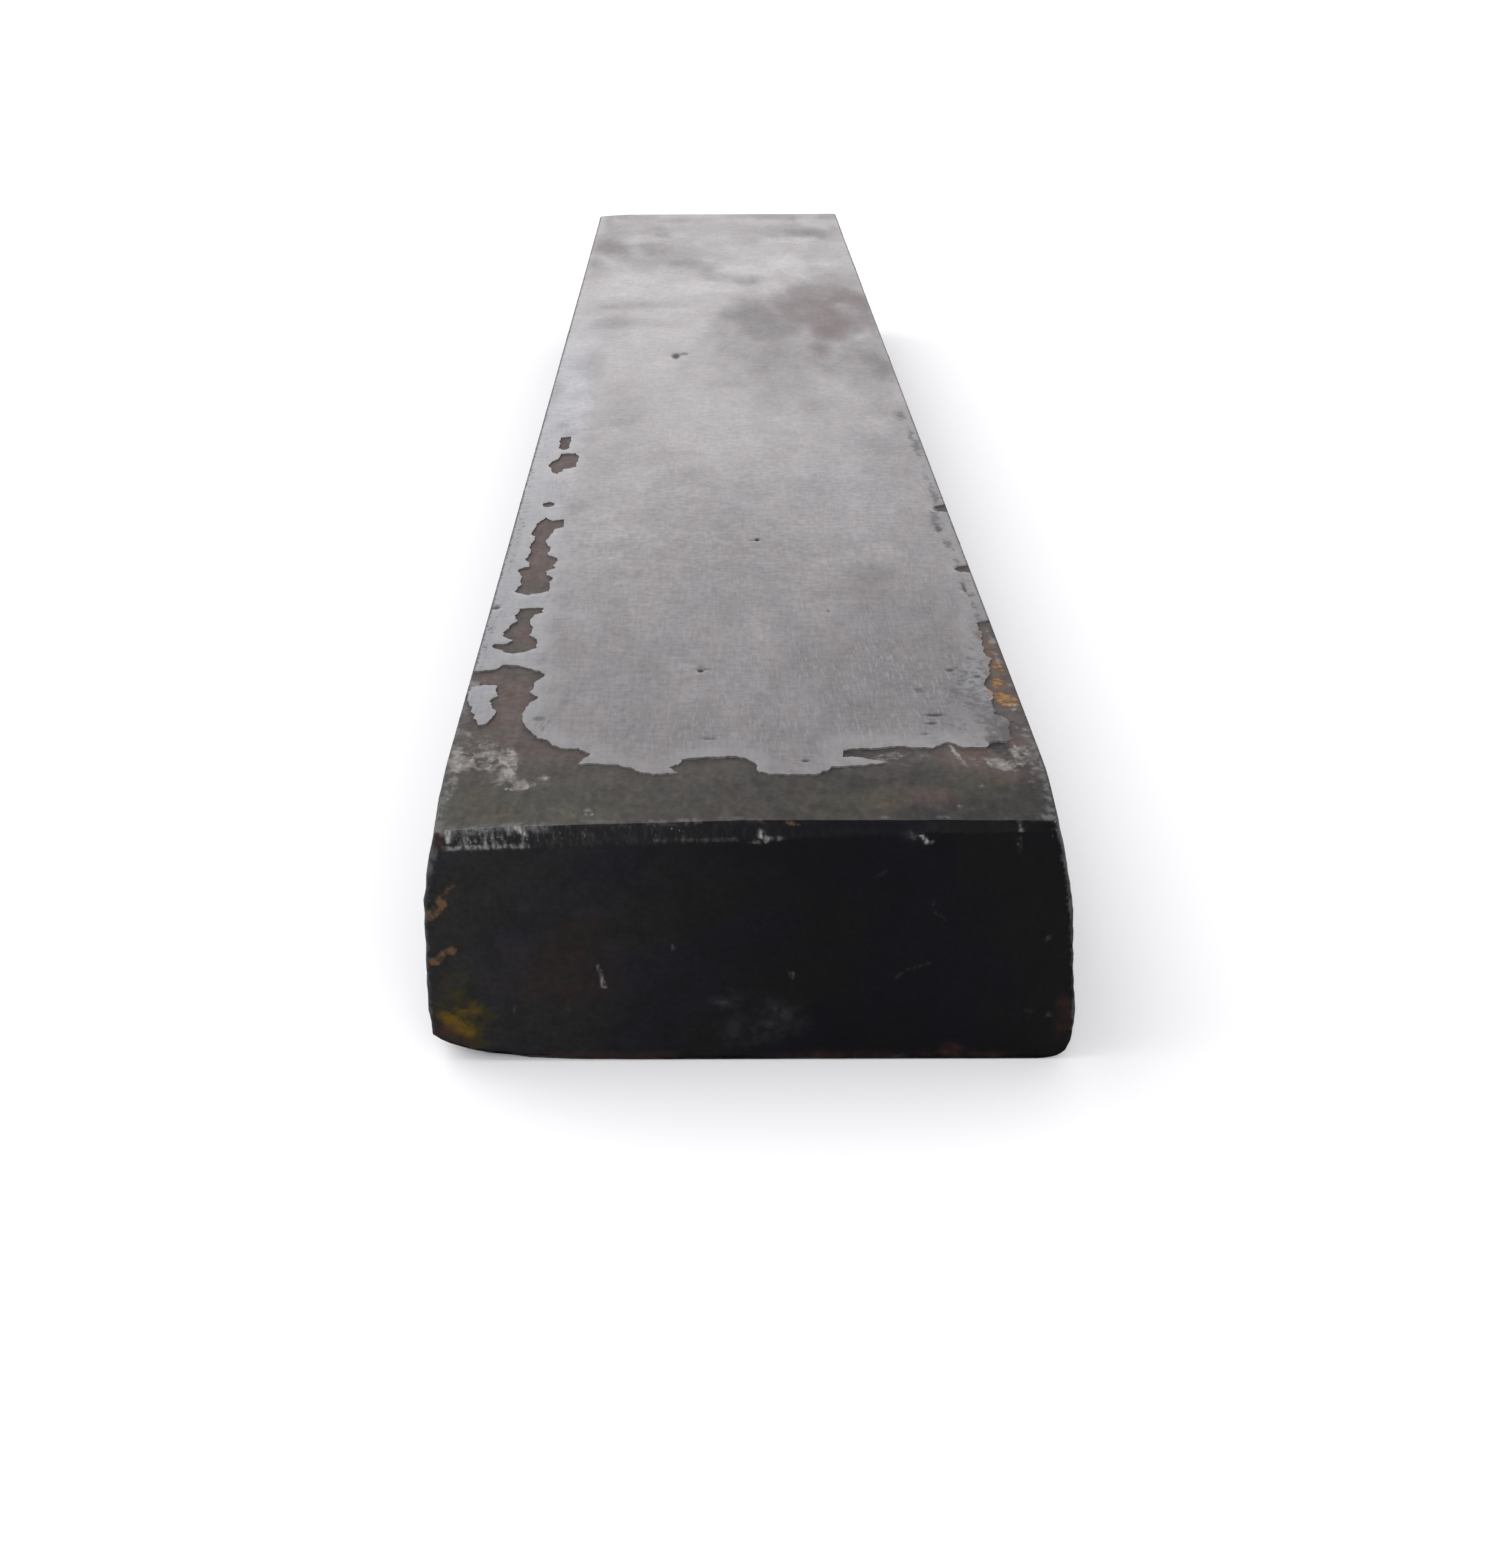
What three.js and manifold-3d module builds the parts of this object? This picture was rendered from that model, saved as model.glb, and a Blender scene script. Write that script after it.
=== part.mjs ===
// Bench whetstone: a dressed block of dark slate whose uppermost stratum, a thin pale lamina,
// is the honing face. The lamina has flaked off in jagged steps along the left margin and the
// front end, and one piece of it is left standing by itself there.
//
// Millimetres. X runs across the stone, Y along it with the front end at -Y, Z up. The origin is
// the centre of the box's base.

import * as THREE from 'three';
import { mergeVertices } from 'three/addons/utils/BufferGeometryUtils.js';
import Module from 'manifold-3d';

const manifold = await Module();
manifold.setup();

// ---- Driving dimensions ----

const LENGTH = 250;
const BASE_WIDTH = 54.7;
const THICKNESS = 25;
const LAYER_THICKNESS = 0.2;

const BODY_TOP = THICKNESS - LAYER_THICKNESS;
const HALF_LENGTH = LENGTH / 2;
const HALF_BASE = BASE_WIDTH / 2;

// The flanks lean outwards from the top to the base, the right one more than the left one.
const LEFT_TOP_X = -25.4;
const RIGHT_TOP_X = 24.1;
const WIDEST_Z = 4;
const LEFT_FLANK_BOW = [-27, 17.5];
const RIGHT_FLANK_BOW = [26.2, 15];
const LEFT_FOOT_RADIUS = 1.4;
const RIGHT_FOOT_RADIUS = 2.8;

// Corner radii in plan.
const FRONT_CORNER_RADIUS = 0.8;
const REAR_CORNER_RADIUS = 1.2;

// The nose: the top slopes down over the last few millimetres, then a narrow bevel meets the end.
// Its left half falls away to the left, and its right half hardly at all to the right.
const NOSE_START = 5.5;
const NOSE_DROP = 1.15;
const BEVEL_DEPTH = 0.6;
const LEFT_BEVEL_BOTTOM_Z = 22.1;
const RIGHT_BEVEL_BOTTOM_Z = 23;
const LEFT_NOSE_ROLL = THREE.MathUtils.degToRad(-1.5);
const RIGHT_NOSE_ROLL = THREE.MathUtils.degToRad(0.35);

// The spall broken out of the lower left front corner.
const SPALL_WIDTH = 7.3;
const SPALL_HEIGHT = 3.2;
const SPALL_LENGTH = 18;
const SPALL_TURN = THREE.MathUtils.degToRad(22);

// The layer stops this far inside the top's rear edge.
const REAR_SETBACK = 0.7;
const OVERCUT = 4;
const CURVE_STEPS = 8;
const WELD_TOLERANCE = 1e-4;

// ---- Outlines of the pale layer, seen from above ----

// The broken front edge, from the left margin to the right one.
const FRONT_BREAK = [
  [-25.3, -98.8], [-23.3, -98.7], [-22.7, -97.8], [-21.3, -98.0], [-19.9, -98.9], [-18.6, -100.1],
  [-19.2, -101.6], [-19.6, -103.8], [-18.8, -105.3], [-19.4, -106.0], [-19.9, -108.2],
  [-19.4, -110.4], [-18.8, -111.5], [-18.2, -112.7], [-17.2, -113.2], [-16.8, -114.1],
  [-16.0, -114.6], [-14.5, -114.6], [-13.5, -115.6], [-14.1, -116.6], [-14.4, -117.2],
  [-11.0, -117.5], [-10.0, -117.9], [-9.1, -118.6], [-7.9, -118.8], [-6.1, -118.7],
  [-6.9, -118.0], [-6.1, -117.5], [-5.8, -116.6], [-3.7, -116.2], [-1.5, -116.1],
  [-0.4, -116.6], [0.2, -117.3], [0.5, -118.8], [1.6, -119.1], [5.5, -119.0],
  [6.3, -118.4], [6.5, -117.9], [8.9, -117.7], [11.0, -117.3], [9.1, -116.5],
  [7.5, -116.4], [7.7, -115.1], [9.4, -114.8], [12.4, -114.4], [15.3, -114.8],
  [16.6, -113.8], [18.0, -114.8], [19.8, -114.7], [20.1, -113.9], [21.9, -113.5],
];

// The right margin, from the front to the rear, with its worn corner and two nicks.
const RIGHT_MARGIN = [
  [22.1, -111.4], [22.3, -109.6], [21.3, -108.6], [21.4, -106.5], [21.9, -104.6], [21.3, -102.8],
  [22.1, -100.8], [22.3, -98.8], [22.9, -97.2], [22.3, -95.8], [22.5, -93.6], [22.9, -91.2],
  [22.6, -88.9], [24.0, -88.2], [24.0, -76.0], [23.0, -75.8], [22.3, -75.0], [22.8, -74.2],
  [24.0, -73.8], [24.0, -57.6], [23.0, -57.2], [22.6, -55.8], [24.0, -55.0],
];

// The windows flaked out of the left margin, from the front to the rear.
const WINDOWS = [
  [
    [-22.4, -84.6], [-20.0, -84.7], [-19.9, -85.9], [-20.8, -86.3], [-21.0, -88.2], [-20.6, -89.4],
    [-20.8, -91.3], [-20.0, -92.3], [-19.8, -94.3], [-20.9, -95.2], [-21.9, -95.4], [-22.8, -95.0],
    [-24.2, -93.5], [-24.0, -92.9], [-22.8, -93.0], [-22.3, -92.2], [-23.4, -91.0], [-22.9, -88.6],
    [-22.3, -87.7], [-22.6, -86.6],
  ],
  [
    [-21.9, -58.4], [-21.0, -59.6], [-19.8, -59.3], [-19.6, -61.8], [-20.6, -62.4], [-21.3, -66.1],
    [-20.6, -68.8], [-20.7, -70.2], [-19.6, -71.4], [-19.6, -74.2], [-20.6, -75.0], [-19.7, -76.7],
    [-19.8, -80.4], [-22.0, -81.2], [-23.4, -80.0], [-22.8, -78.3], [-23.0, -76.0], [-23.6, -74.3],
    [-22.5, -73.4], [-23.0, -70.9], [-22.7, -69.0], [-23.0, -67.5], [-22.6, -64.6], [-23.1, -63.0],
    [-22.8, -60.2],
  ],
  [
    [-22.6, -53.6], [-21.9, -53.2], [-21.3, -53.8], [-21.4, -54.7], [-22.2, -55.0], [-22.6, -54.4],
  ],
  [
    [-22.0, -35.4], [-20.0, -35.4], [-19.6, -36.6], [-19.6, -40.8], [-21.1, -41.5], [-21.7, -43.3],
    [-22.3, -42.8], [-23.1, -40.0], [-22.9, -38.9], [-22.2, -37.5],
  ],
  [
    [-22.5, -28.6], [-21.1, -28.4], [-21.0, -33.0], [-21.6, -33.9], [-22.4, -32.8],
  ],
];

// The piece of the layer that is left standing near the left front corner.
const REMNANT = [
  [-25.2, -102.2], [-24.0, -101.9], [-22.8, -102.1], [-22.4, -104.3], [-23.1, -105.3],
  [-22.6, -106.9], [-22.3, -107.8], [-22.9, -109.7], [-23.6, -109.9], [-24.5, -107.3],
  [-24.9, -105.6], [-25.2, -104.6],
];

// ---- Materials ----

const SLATE = new THREE.MeshStandardMaterial({ color: 0x2c2d31, roughness: 0.45, metalness: 0 });
const PALE_STONE = new THREE.MeshStandardMaterial({ color: 0xa9a6a6, roughness: 0.8, metalness: 0 });

// ---- Solids ----

function toSolid(geometry) {
  geometry.deleteAttribute('normal');
  geometry.deleteAttribute('uv');
  const welded = mergeVertices(geometry, WELD_TOLERANCE);
  return new manifold.Manifold(new manifold.Mesh({
    numProp: 3,
    vertProperties: new Float32Array(welded.attributes.position.array),
    triVerts: new Uint32Array(welded.index.array),
  }));
}

function toGeometry(solid) {
  const mesh = solid.getMesh();
  const geometry = new THREE.BufferGeometry();
  geometry.setAttribute('position', new THREE.BufferAttribute(mesh.vertProperties, 3));
  geometry.setIndex(new THREE.BufferAttribute(mesh.triVerts, 1));
  geometry.computeVertexNormals();
  return geometry;
}

function shapeFrom(points) {
  return new THREE.Shape(points.map(([x, y]) => new THREE.Vector2(x, y)));
}

function extrude(shape, depth) {
  return new THREE.ExtrudeGeometry(shape, { depth, bevelEnabled: false, curveSegments: CURVE_STEPS });
}

// ---- The block of slate ----

// Across the stone: bowed flanks, widest just above the base, on rounded feet.
function crossSection() {
  const shape = new THREE.Shape();
  shape.moveTo(RIGHT_TOP_X, BODY_TOP);
  shape.lineTo(LEFT_TOP_X, BODY_TOP);
  shape.quadraticCurveTo(...LEFT_FLANK_BOW, -HALF_BASE, WIDEST_Z);
  shape.lineTo(-HALF_BASE, LEFT_FOOT_RADIUS);
  shape.quadraticCurveTo(-HALF_BASE, 0, -HALF_BASE + LEFT_FOOT_RADIUS, 0);
  shape.lineTo(HALF_BASE - RIGHT_FOOT_RADIUS, 0);
  shape.quadraticCurveTo(HALF_BASE, 0, HALF_BASE, RIGHT_FOOT_RADIUS);
  shape.lineTo(HALF_BASE, WIDEST_Z);
  shape.quadraticCurveTo(...RIGHT_FLANK_BOW, RIGHT_TOP_X, BODY_TOP);
  return shape;
}

// A shape drawn across the stone (its y is the height), drawn out along the whole length.
function alongLength(shape, depth) {
  return extrude(shape, depth).rotateX(Math.PI / 2).translate(0, depth / 2, 0);
}

// Seen from above: a rectangle with small front corners and rounder rear ones.
function planSolid() {
  const shape = new THREE.Shape();
  shape.moveTo(-HALF_BASE + FRONT_CORNER_RADIUS, -HALF_LENGTH);
  shape.lineTo(HALF_BASE - FRONT_CORNER_RADIUS, -HALF_LENGTH);
  shape.quadraticCurveTo(HALF_BASE, -HALF_LENGTH, HALF_BASE, -HALF_LENGTH + FRONT_CORNER_RADIUS);
  shape.lineTo(HALF_BASE, HALF_LENGTH - REAR_CORNER_RADIUS);
  shape.quadraticCurveTo(HALF_BASE, HALF_LENGTH, HALF_BASE - REAR_CORNER_RADIUS, HALF_LENGTH);
  shape.lineTo(-HALF_BASE + REAR_CORNER_RADIUS, HALF_LENGTH);
  shape.quadraticCurveTo(-HALF_BASE, HALF_LENGTH, -HALF_BASE, HALF_LENGTH - REAR_CORNER_RADIUS);
  shape.lineTo(-HALF_BASE, -HALF_LENGTH + FRONT_CORNER_RADIUS);
  shape.quadraticCurveTo(-HALF_BASE, -HALF_LENGTH, -HALF_BASE + FRONT_CORNER_RADIUS, -HALF_LENGTH);
  return toSolid(extrude(shape, THICKNESS));
}

// What the sloping nose and the bevel take away, drawn from the side and run across the stone,
// then rolled a little about the length.
function noseCutter(roll, bevelBottomZ) {
  const reach = BASE_WIDTH + OVERCUT;
  const fromEnd = (y) => y - HALF_LENGTH;
  const shape = shapeFrom([
    [fromEnd(NOSE_START), BODY_TOP],
    [fromEnd(BEVEL_DEPTH), BODY_TOP - NOSE_DROP],
    [fromEnd(0), bevelBottomZ],
    [fromEnd(-OVERCUT), bevelBottomZ],
    [fromEnd(-OVERCUT), BODY_TOP + OVERCUT],
    [fromEnd(NOSE_START + OVERCUT), BODY_TOP + OVERCUT],
  ]);
  const geometry = extrude(shape, reach)
    .rotateX(Math.PI / 2)
    .rotateZ(Math.PI / 2)
    .translate(-reach / 2, 0, -BODY_TOP)
    .rotateY(roll)
    .translate(0, 0, BODY_TOP);
  return toSolid(geometry);
}

// A wedge turned out of the flank, so the break tapers away from the end face.
function spallCutter() {
  const shape = shapeFrom([
    [-OVERCUT, -OVERCUT],
    [SPALL_WIDTH, -OVERCUT],
    [SPALL_WIDTH, 0],
    [0, SPALL_HEIGHT],
    [-OVERCUT, SPALL_HEIGHT],
  ]);
  const geometry = extrude(shape, SPALL_LENGTH)
    .rotateX(Math.PI / 2)
    .translate(0, SPALL_LENGTH - OVERCUT, 0)
    .rotateZ(SPALL_TURN)
    .translate(-HALF_BASE, -HALF_LENGTH, 0);
  return toSolid(geometry);
}

function slateBody() {
  const block = toSolid(alongLength(crossSection(), LENGTH));
  const nosed = block
    .intersect(planSolid())
    .subtract(noseCutter(LEFT_NOSE_ROLL, LEFT_BEVEL_BOTTOM_Z))
    .subtract(noseCutter(RIGHT_NOSE_ROLL, RIGHT_BEVEL_BOTTOM_Z));
  return toGeometry(nosed.subtract(spallCutter()));
}

// ---- The pale layer ----

function layerOutline() {
  const rearY = HALF_LENGTH - REAR_SETBACK;
  const outline = shapeFrom([...FRONT_BREAK, ...RIGHT_MARGIN]);
  outline.lineTo(RIGHT_TOP_X, rearY - REAR_CORNER_RADIUS);
  outline.quadraticCurveTo(RIGHT_TOP_X, rearY, RIGHT_TOP_X - REAR_CORNER_RADIUS, rearY);
  outline.lineTo(LEFT_TOP_X + REAR_CORNER_RADIUS, rearY);
  outline.quadraticCurveTo(LEFT_TOP_X, rearY, LEFT_TOP_X, rearY - REAR_CORNER_RADIUS);
  return outline;
}

function honingLayer() {
  const outline = layerOutline();
  outline.holes = WINDOWS.map(shapeFrom);
  return extrude(outline, LAYER_THICKNESS).translate(0, 0, BODY_TOP);
}

function edgeRemnant() {
  return extrude(shapeFrom(REMNANT), LAYER_THICKNESS).translate(0, 0, BODY_TOP);
}

// ---- The stone ----

function piece(name, geometry, material) {
  const mesh = new THREE.Mesh(geometry, material);
  mesh.name = name;
  return mesh;
}

const group = new THREE.Group();
group.add(
  piece('slate_body', slateBody(), SLATE),
  piece('honing_layer', honingLayer(), PALE_STONE),
  piece('edge_remnant', edgeRemnant(), PALE_STONE),
);

export default group;
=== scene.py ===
# A dark slate bench whetstone with a pale honing layer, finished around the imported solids.
# The shaping code works in millimetres; a mesh is scaled to metres when it is made.
import math

import bmesh
import bpy
import numpy as np
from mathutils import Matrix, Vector, geometry, kdtree, noise


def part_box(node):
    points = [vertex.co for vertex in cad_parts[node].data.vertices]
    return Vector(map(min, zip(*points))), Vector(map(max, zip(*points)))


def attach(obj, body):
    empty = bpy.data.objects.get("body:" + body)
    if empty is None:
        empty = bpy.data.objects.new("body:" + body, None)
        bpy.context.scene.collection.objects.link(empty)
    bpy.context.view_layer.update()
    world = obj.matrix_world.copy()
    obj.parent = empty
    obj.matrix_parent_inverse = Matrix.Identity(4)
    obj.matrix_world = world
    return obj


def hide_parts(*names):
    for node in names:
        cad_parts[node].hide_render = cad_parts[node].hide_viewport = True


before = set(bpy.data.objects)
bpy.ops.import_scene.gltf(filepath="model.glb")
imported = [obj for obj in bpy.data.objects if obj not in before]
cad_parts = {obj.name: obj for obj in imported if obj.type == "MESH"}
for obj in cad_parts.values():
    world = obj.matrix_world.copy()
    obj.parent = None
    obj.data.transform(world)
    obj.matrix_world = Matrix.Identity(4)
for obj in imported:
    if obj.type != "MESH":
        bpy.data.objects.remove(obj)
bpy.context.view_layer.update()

MM = 0.001


def box_mm(node):
    """Lowest and highest corner of a CAD node, in millimetres."""
    lowest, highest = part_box(node)
    return np.array(lowest) / MM, np.array(highest) / MM


# ---- Sizes from the frame, mm ----

BODY_LOW, BODY_HIGH = box_mm("slate_body")
LAYER_LOW, LAYER_HIGH = box_mm("honing_layer")
HALF_BASE = BODY_HIGH[0]
FRONT_Y = BODY_LOW[1]
REAR_Y = BODY_HIGH[1]
BODY_TOP = BODY_HIGH[2]
LAYER_TOP = LAYER_HIGH[2]
LEFT_EDGE = LAYER_LOW[0]
RIGHT_EDGE = LAYER_HIGH[0]

# ---- Form of the block, mm ----

WIDEST_Z = 4.0
LEFT_BOW = (-27.25, 20.0)
RIGHT_BOW = (26.55, 16.0)
LEFT_FOOT = 1.4
RIGHT_FOOT = 2.8
REAR_ROUND = 1.0

# The nose: its length in the middle, how much longer it gets for each mm to the left and to the
# right, how far it falls for each mm forwards, and how softly it begins.
NOSE_LENGTH = 5.5
NOSE_MORE_LEFT = 0.11
NOSE_MORE_RIGHT = 0.025
NOSE_SLOPE = 0.235
NOSE_BLEND = 0.8

# The bevel: how far back it reaches, and the height of its foot in the middle and its rise for
# each mm to the right. The upright corners round in by CORNER_INSET, their feet by a share of it.
BEVEL_DEPTH = 0.6
BEVEL_FOOT = 22.15
BEVEL_TILT = 0.032
CORNER_INSET = 0.18
FOOT_LIFT = 0.25

# Wear: the left margin falls away outside MARGIN_X by MARGIN_TILT for each mm, and the whole top
# is hollowed along its length.
MARGIN_X = -19.4
MARGIN_TILT = 0.05
HOLLOW = 0.12

# The break along the foot of the front end, deep at the lower left and a mere chamfer beyond: how
# high its edge is at places across the stone, and how far back it runs there.
BREAK_ACROSS = (-27.4, -26.5, -25.0, -23.8, -23.1, -22.0, -19.0, -15.3, -9.8, 24.0)
BREAK_HEIGHT = (2.75, 2.2, 1.5, 1.25, 1.2, 1.05, 0.6, 0.4, 0.3, 0.25)
BREAK_LENGTH = (18.0, 16.0, 12.0, 6.0, 3.6, 1.8, 0.6, 0.3, 0.2, 0.1)

# How its surface curves, how rough it is, and over how many times its lift it fades out above.
BREAK_CURVE = 1.3
BREAK_RELIEF = 0.16
BREAK_FADE = 3.0
LEAST_LIFT = 1e-6

# ---- Fineness of the meshes, mm ----

TOP_STEP = 0.5
FINE_TOP_STEP = 0.28
FINE_LEFT = -17.0
FINE_RIGHT = 14.0
FLANK_STEP = 0.7
BOTTOM_STEP = 1.8
CAP_STEP = 0.27
REAR_CAP_STEP = 1.1
BEVEL_ROWS = 8
REAR_ROUND_ROWS = 6
LEFT_FOOT_STEPS = 6
RIGHT_FOOT_STEPS = 8
BREAK_STEP = 0.24
LEAST_AREA = 1e-5
CDT_TOLERANCE = 1e-7
MARGIN_STEP = 0.8
STRAIGHT_SIDE = 8.0
BREAK_SWAY = 0.085
LONGEST_SWAY = 1.2
MARGIN_SWAY = 0.012

# The least upward share of a normal that makes a face part of the top, and the angles in degrees
# above which an edge stays sharp.
FACES_UP = 0.6
BODY_SHARP = 38
LAYER_SHARP = 30

RNG = np.random.default_rng(41)


# ---- Small mathematics ----

def smooth(low, high, value):
    """0 below low, 1 above high, and a smooth rise between."""
    t = np.clip((value - low) / (high - low), 0.0, 1.0)
    return t * t * (3.0 - 2.0 * t)


def fbm(points, size, octaves=4, shift=0.0):
    """Fractal noise of about -1 to 1 at points in mm, with its largest features size mm wide."""
    scaled = np.asarray(points, float) / size + np.array([shift, 1.7 * shift, -2.3 * shift])
    values = [noise.fractal(Vector(p), 1.0, 2.0, octaves) for p in scaled]
    return np.array(values) * 1.6


def flat_points(x, y):
    return np.column_stack([x, y, np.zeros_like(x)])


# ---- Height of the worn top ----

def wear(x, y):
    """How far the worn top lies under the plane of an unused stone."""
    margin = MARGIN_TILT * np.maximum(0.0, MARGIN_X - x)
    hollow = HOLLOW * (1.0 - (y / REAR_Y) ** 2)
    return margin + hollow


def nose_drop(x, y):
    """How far the sloping front end lies under the rest of the top."""
    start = FRONT_Y + NOSE_LENGTH + np.where(x < 0.0, -NOSE_MORE_LEFT * x, NOSE_MORE_RIGHT * x)
    past = (start - y) / NOSE_BLEND
    return NOSE_SLOPE * NOSE_BLEND * np.logaddexp(0.0, past)


def body_height(x, y):
    return BODY_TOP - wear(x, y) - nose_drop(x, y)


# ---- Filling outlines with triangles ----

def inside(points, loops):
    """For each point, whether an odd number of loop sides lie to its right."""
    odd = np.zeros(len(points), bool)
    px, py = points[:, 0], points[:, 1]
    for loop in loops:
        for (ax, ay), (bx, by) in zip(loop, np.roll(loop, -1, axis=0)):
            if ay == by:
                continue
            crosses = (ay > py) != (by > py)
            reach = ax + (py - ay) * (bx - ax) / (by - ay)
            odd ^= crosses & (px < reach)
    return odd


def fill(loops, grid, clearance):
    """Triangulates the area inside loops, with the grid points that are clear of the loops."""
    rim = np.concatenate(loops)
    tree = kdtree.KDTree(len(rim))
    for index, (x, y) in enumerate(rim):
        tree.insert((x, y, 0.0), index)
    tree.balance()
    clear = [tree.find((x, y, 0.0))[2] > clearance for x, y in grid]
    inner = grid[np.array(clear)]
    inner = inner[inside(inner, loops)]
    sides = []
    first = 0
    for loop in loops:
        count = len(loop)
        sides += [(first + i, first + (i + 1) % count) for i in range(count)]
        first += count
    points = [Vector(p) for p in np.concatenate([rim, inner])]
    found = geometry.delaunay_2d_cdt(points, sides, [], 0, CDT_TOLERANCE)
    vertices = np.array([tuple(v) for v in found[0]])
    triangles = np.array(found[2])
    a, b, c = (vertices[triangles[:, corner]] for corner in range(3))
    area = abs((b - a)[:, 0] * (c - a)[:, 1] - (b - a)[:, 1] * (c - a)[:, 0]) / 2
    kept = inside((a + b + c) / 3, loops) & (area > LEAST_AREA)
    return vertices, triangles[kept], found[3]


def scattered_grid(lowest, highest, step):
    """Grid points over a rectangle, each moved a little so that no rows show."""
    xs = np.arange(lowest[0], highest[0], step)
    ys = np.arange(lowest[1], highest[1], step)
    grid = np.stack(np.meshgrid(xs, ys), -1).reshape(-1, 2)
    return grid + RNG.uniform(-0.25, 0.25, grid.shape) * step


# ---- Marks on the surface ----

# How much the noise frays a spot, and the share of a scratch's width that is at full strength.
RAGGEDNESS = 0.45
STROKE_CORE = 0.35


def spots(u, v, wobble, table, edge):
    """Ragged ellipses, the strongest at each place. Rows: strength, centre, radii and maybe turn."""
    result = np.zeros(len(u))
    for strength, centre_u, centre_v, radius_u, radius_v, *turn in table:
        angle = math.radians(*turn) if turn else 0.0
        du, dv = u - centre_u, v - centre_v
        along = (du * math.cos(angle) + dv * math.sin(angle)) / radius_u
        across = (dv * math.cos(angle) - du * math.sin(angle)) / radius_v
        distance = np.hypot(along, across) + RAGGEDNESS * wobble
        result = np.maximum(result, strength * (1.0 - smooth(1.0 - edge, 1.0 + edge, distance)))
    return result


def strokes(u, v, table):
    """Thin straight scratches. Rows: strength, start, end and width."""
    result = np.zeros(len(u))
    for strength, start_u, start_v, end_u, end_v, width in table:
        run_u, run_v = end_u - start_u, end_v - start_v
        du, dv = u - start_u, v - start_v
        t = np.clip((du * run_u + dv * run_v) / (run_u ** 2 + run_v ** 2), 0.0, 1.0)
        distance = np.hypot(du - t * run_u, dv - t * run_v)
        result = np.maximum(result, strength * (1.0 - smooth(STROKE_CORE * width, width, distance)))
    return result


# ---- Making mesh objects ----

def add_object(name, data):
    """A new object in the scene."""
    thing = bpy.data.objects.new(name, data)
    bpy.context.scene.collection.objects.link(thing)
    return thing


def mesh_object(name, points, faces):
    """A closed mesh object from points in mm, with its faces pointing out."""
    mesh = bpy.data.meshes.new(name)
    mesh.from_pydata((points * MM).tolist(), [], faces)
    mesh.validate()
    shell = bmesh.new()
    shell.from_mesh(mesh)
    bmesh.ops.recalc_face_normals(shell, faces=shell.faces)
    shell.to_mesh(mesh)
    shell.free()
    return add_object(name, mesh)


def vertex_normals(mesh):
    flat = np.empty(len(mesh.vertices) * 3, np.float32)
    mesh.vertices.foreach_get("normal", flat)
    return flat.reshape(-1, 3).astype(float)


def move_vertices(mesh, points):
    mesh.vertices.foreach_set("co", (points * MM).astype(np.float32).ravel())
    mesh.update()


def store(mesh, marks):
    """Keeps each named mark as one number per vertex, for the materials to read."""
    for name, values in marks.items():
        attribute = mesh.attributes.new(name, "FLOAT", "POINT")
        attribute.data.foreach_set("value", values.astype(np.float32))


def soften_shading(mesh, sharp_degrees):
    mesh.shade_smooth()
    mesh.set_sharp_from_angle(angle=math.radians(sharp_degrees))


# ---- The slate body ----

def bow(start, control, end, count):
    """Points of a quadratic curve, without its last one."""
    t = np.linspace(0.0, 1.0, count, endpoint=False)[:, None]
    start, control, end = (np.array(p) for p in (start, control, end))
    return (1 - t) ** 2 * start + 2 * t * (1 - t) * control + t ** 2 * end


def steps(length, step):
    return max(2, math.ceil(length / step))


def even_places(ranges):
    """Evenly spaced places over ranges of start, end and step, without the very last one."""
    return np.concatenate([
        np.linspace(start, end, steps(abs(end - start), step), endpoint=False)
        for start, end, step in ranges
    ])


def top_columns():
    """Points across the top, closer together by both margins, without the last one."""
    ranges = [
        (LEFT_EDGE, FINE_LEFT, FINE_TOP_STEP),
        (FINE_LEFT, FINE_RIGHT, TOP_STEP),
        (FINE_RIGHT, RIGHT_EDGE, FINE_TOP_STEP),
    ]
    x = even_places(ranges)
    return np.column_stack([x, np.full(len(x), BODY_TOP)])


def cross_section():
    """The block's outline across its length and the face each point belongs to."""
    top_left, top_right = (LEFT_EDGE, BODY_TOP), (RIGHT_EDGE, BODY_TOP)
    wide_left, wide_right = (-HALF_BASE, WIDEST_Z), (HALF_BASE, WIDEST_Z)
    foot_left, foot_right = (-HALF_BASE + LEFT_FOOT, 0.0), (HALF_BASE - RIGHT_FOOT, 0.0)
    knee_left, knee_right = (-HALF_BASE, LEFT_FOOT), (HALF_BASE, RIGHT_FOOT)

    def line(start, end, step):
        middle = (np.array(start) + np.array(end)) / 2
        return bow(start, middle, end, steps(math.dist(start, end), step))

    flank = steps(BODY_TOP - WIDEST_Z, FLANK_STEP)
    stretches = [
        ("top", top_columns()),
        ("side", bow(top_right, RIGHT_BOW, wide_right, flank)),
        ("side", line(wide_right, knee_right, FLANK_STEP)),
        ("side", bow(knee_right, (HALF_BASE, 0.0), foot_right, RIGHT_FOOT_STEPS)),
        ("bottom", line(foot_right, foot_left, BOTTOM_STEP)),
        ("side", bow(foot_left, (-HALF_BASE, 0.0), knee_left, LEFT_FOOT_STEPS)),
        ("side", line(knee_left, wide_left, FLANK_STEP)),
        ("side", bow(wide_left, LEFT_BOW, top_left, flank)),
    ]
    outline = np.concatenate([points for _, points in stretches])
    faces = np.concatenate([[face] * len(points) for face, points in stretches])
    return outline, faces


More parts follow.
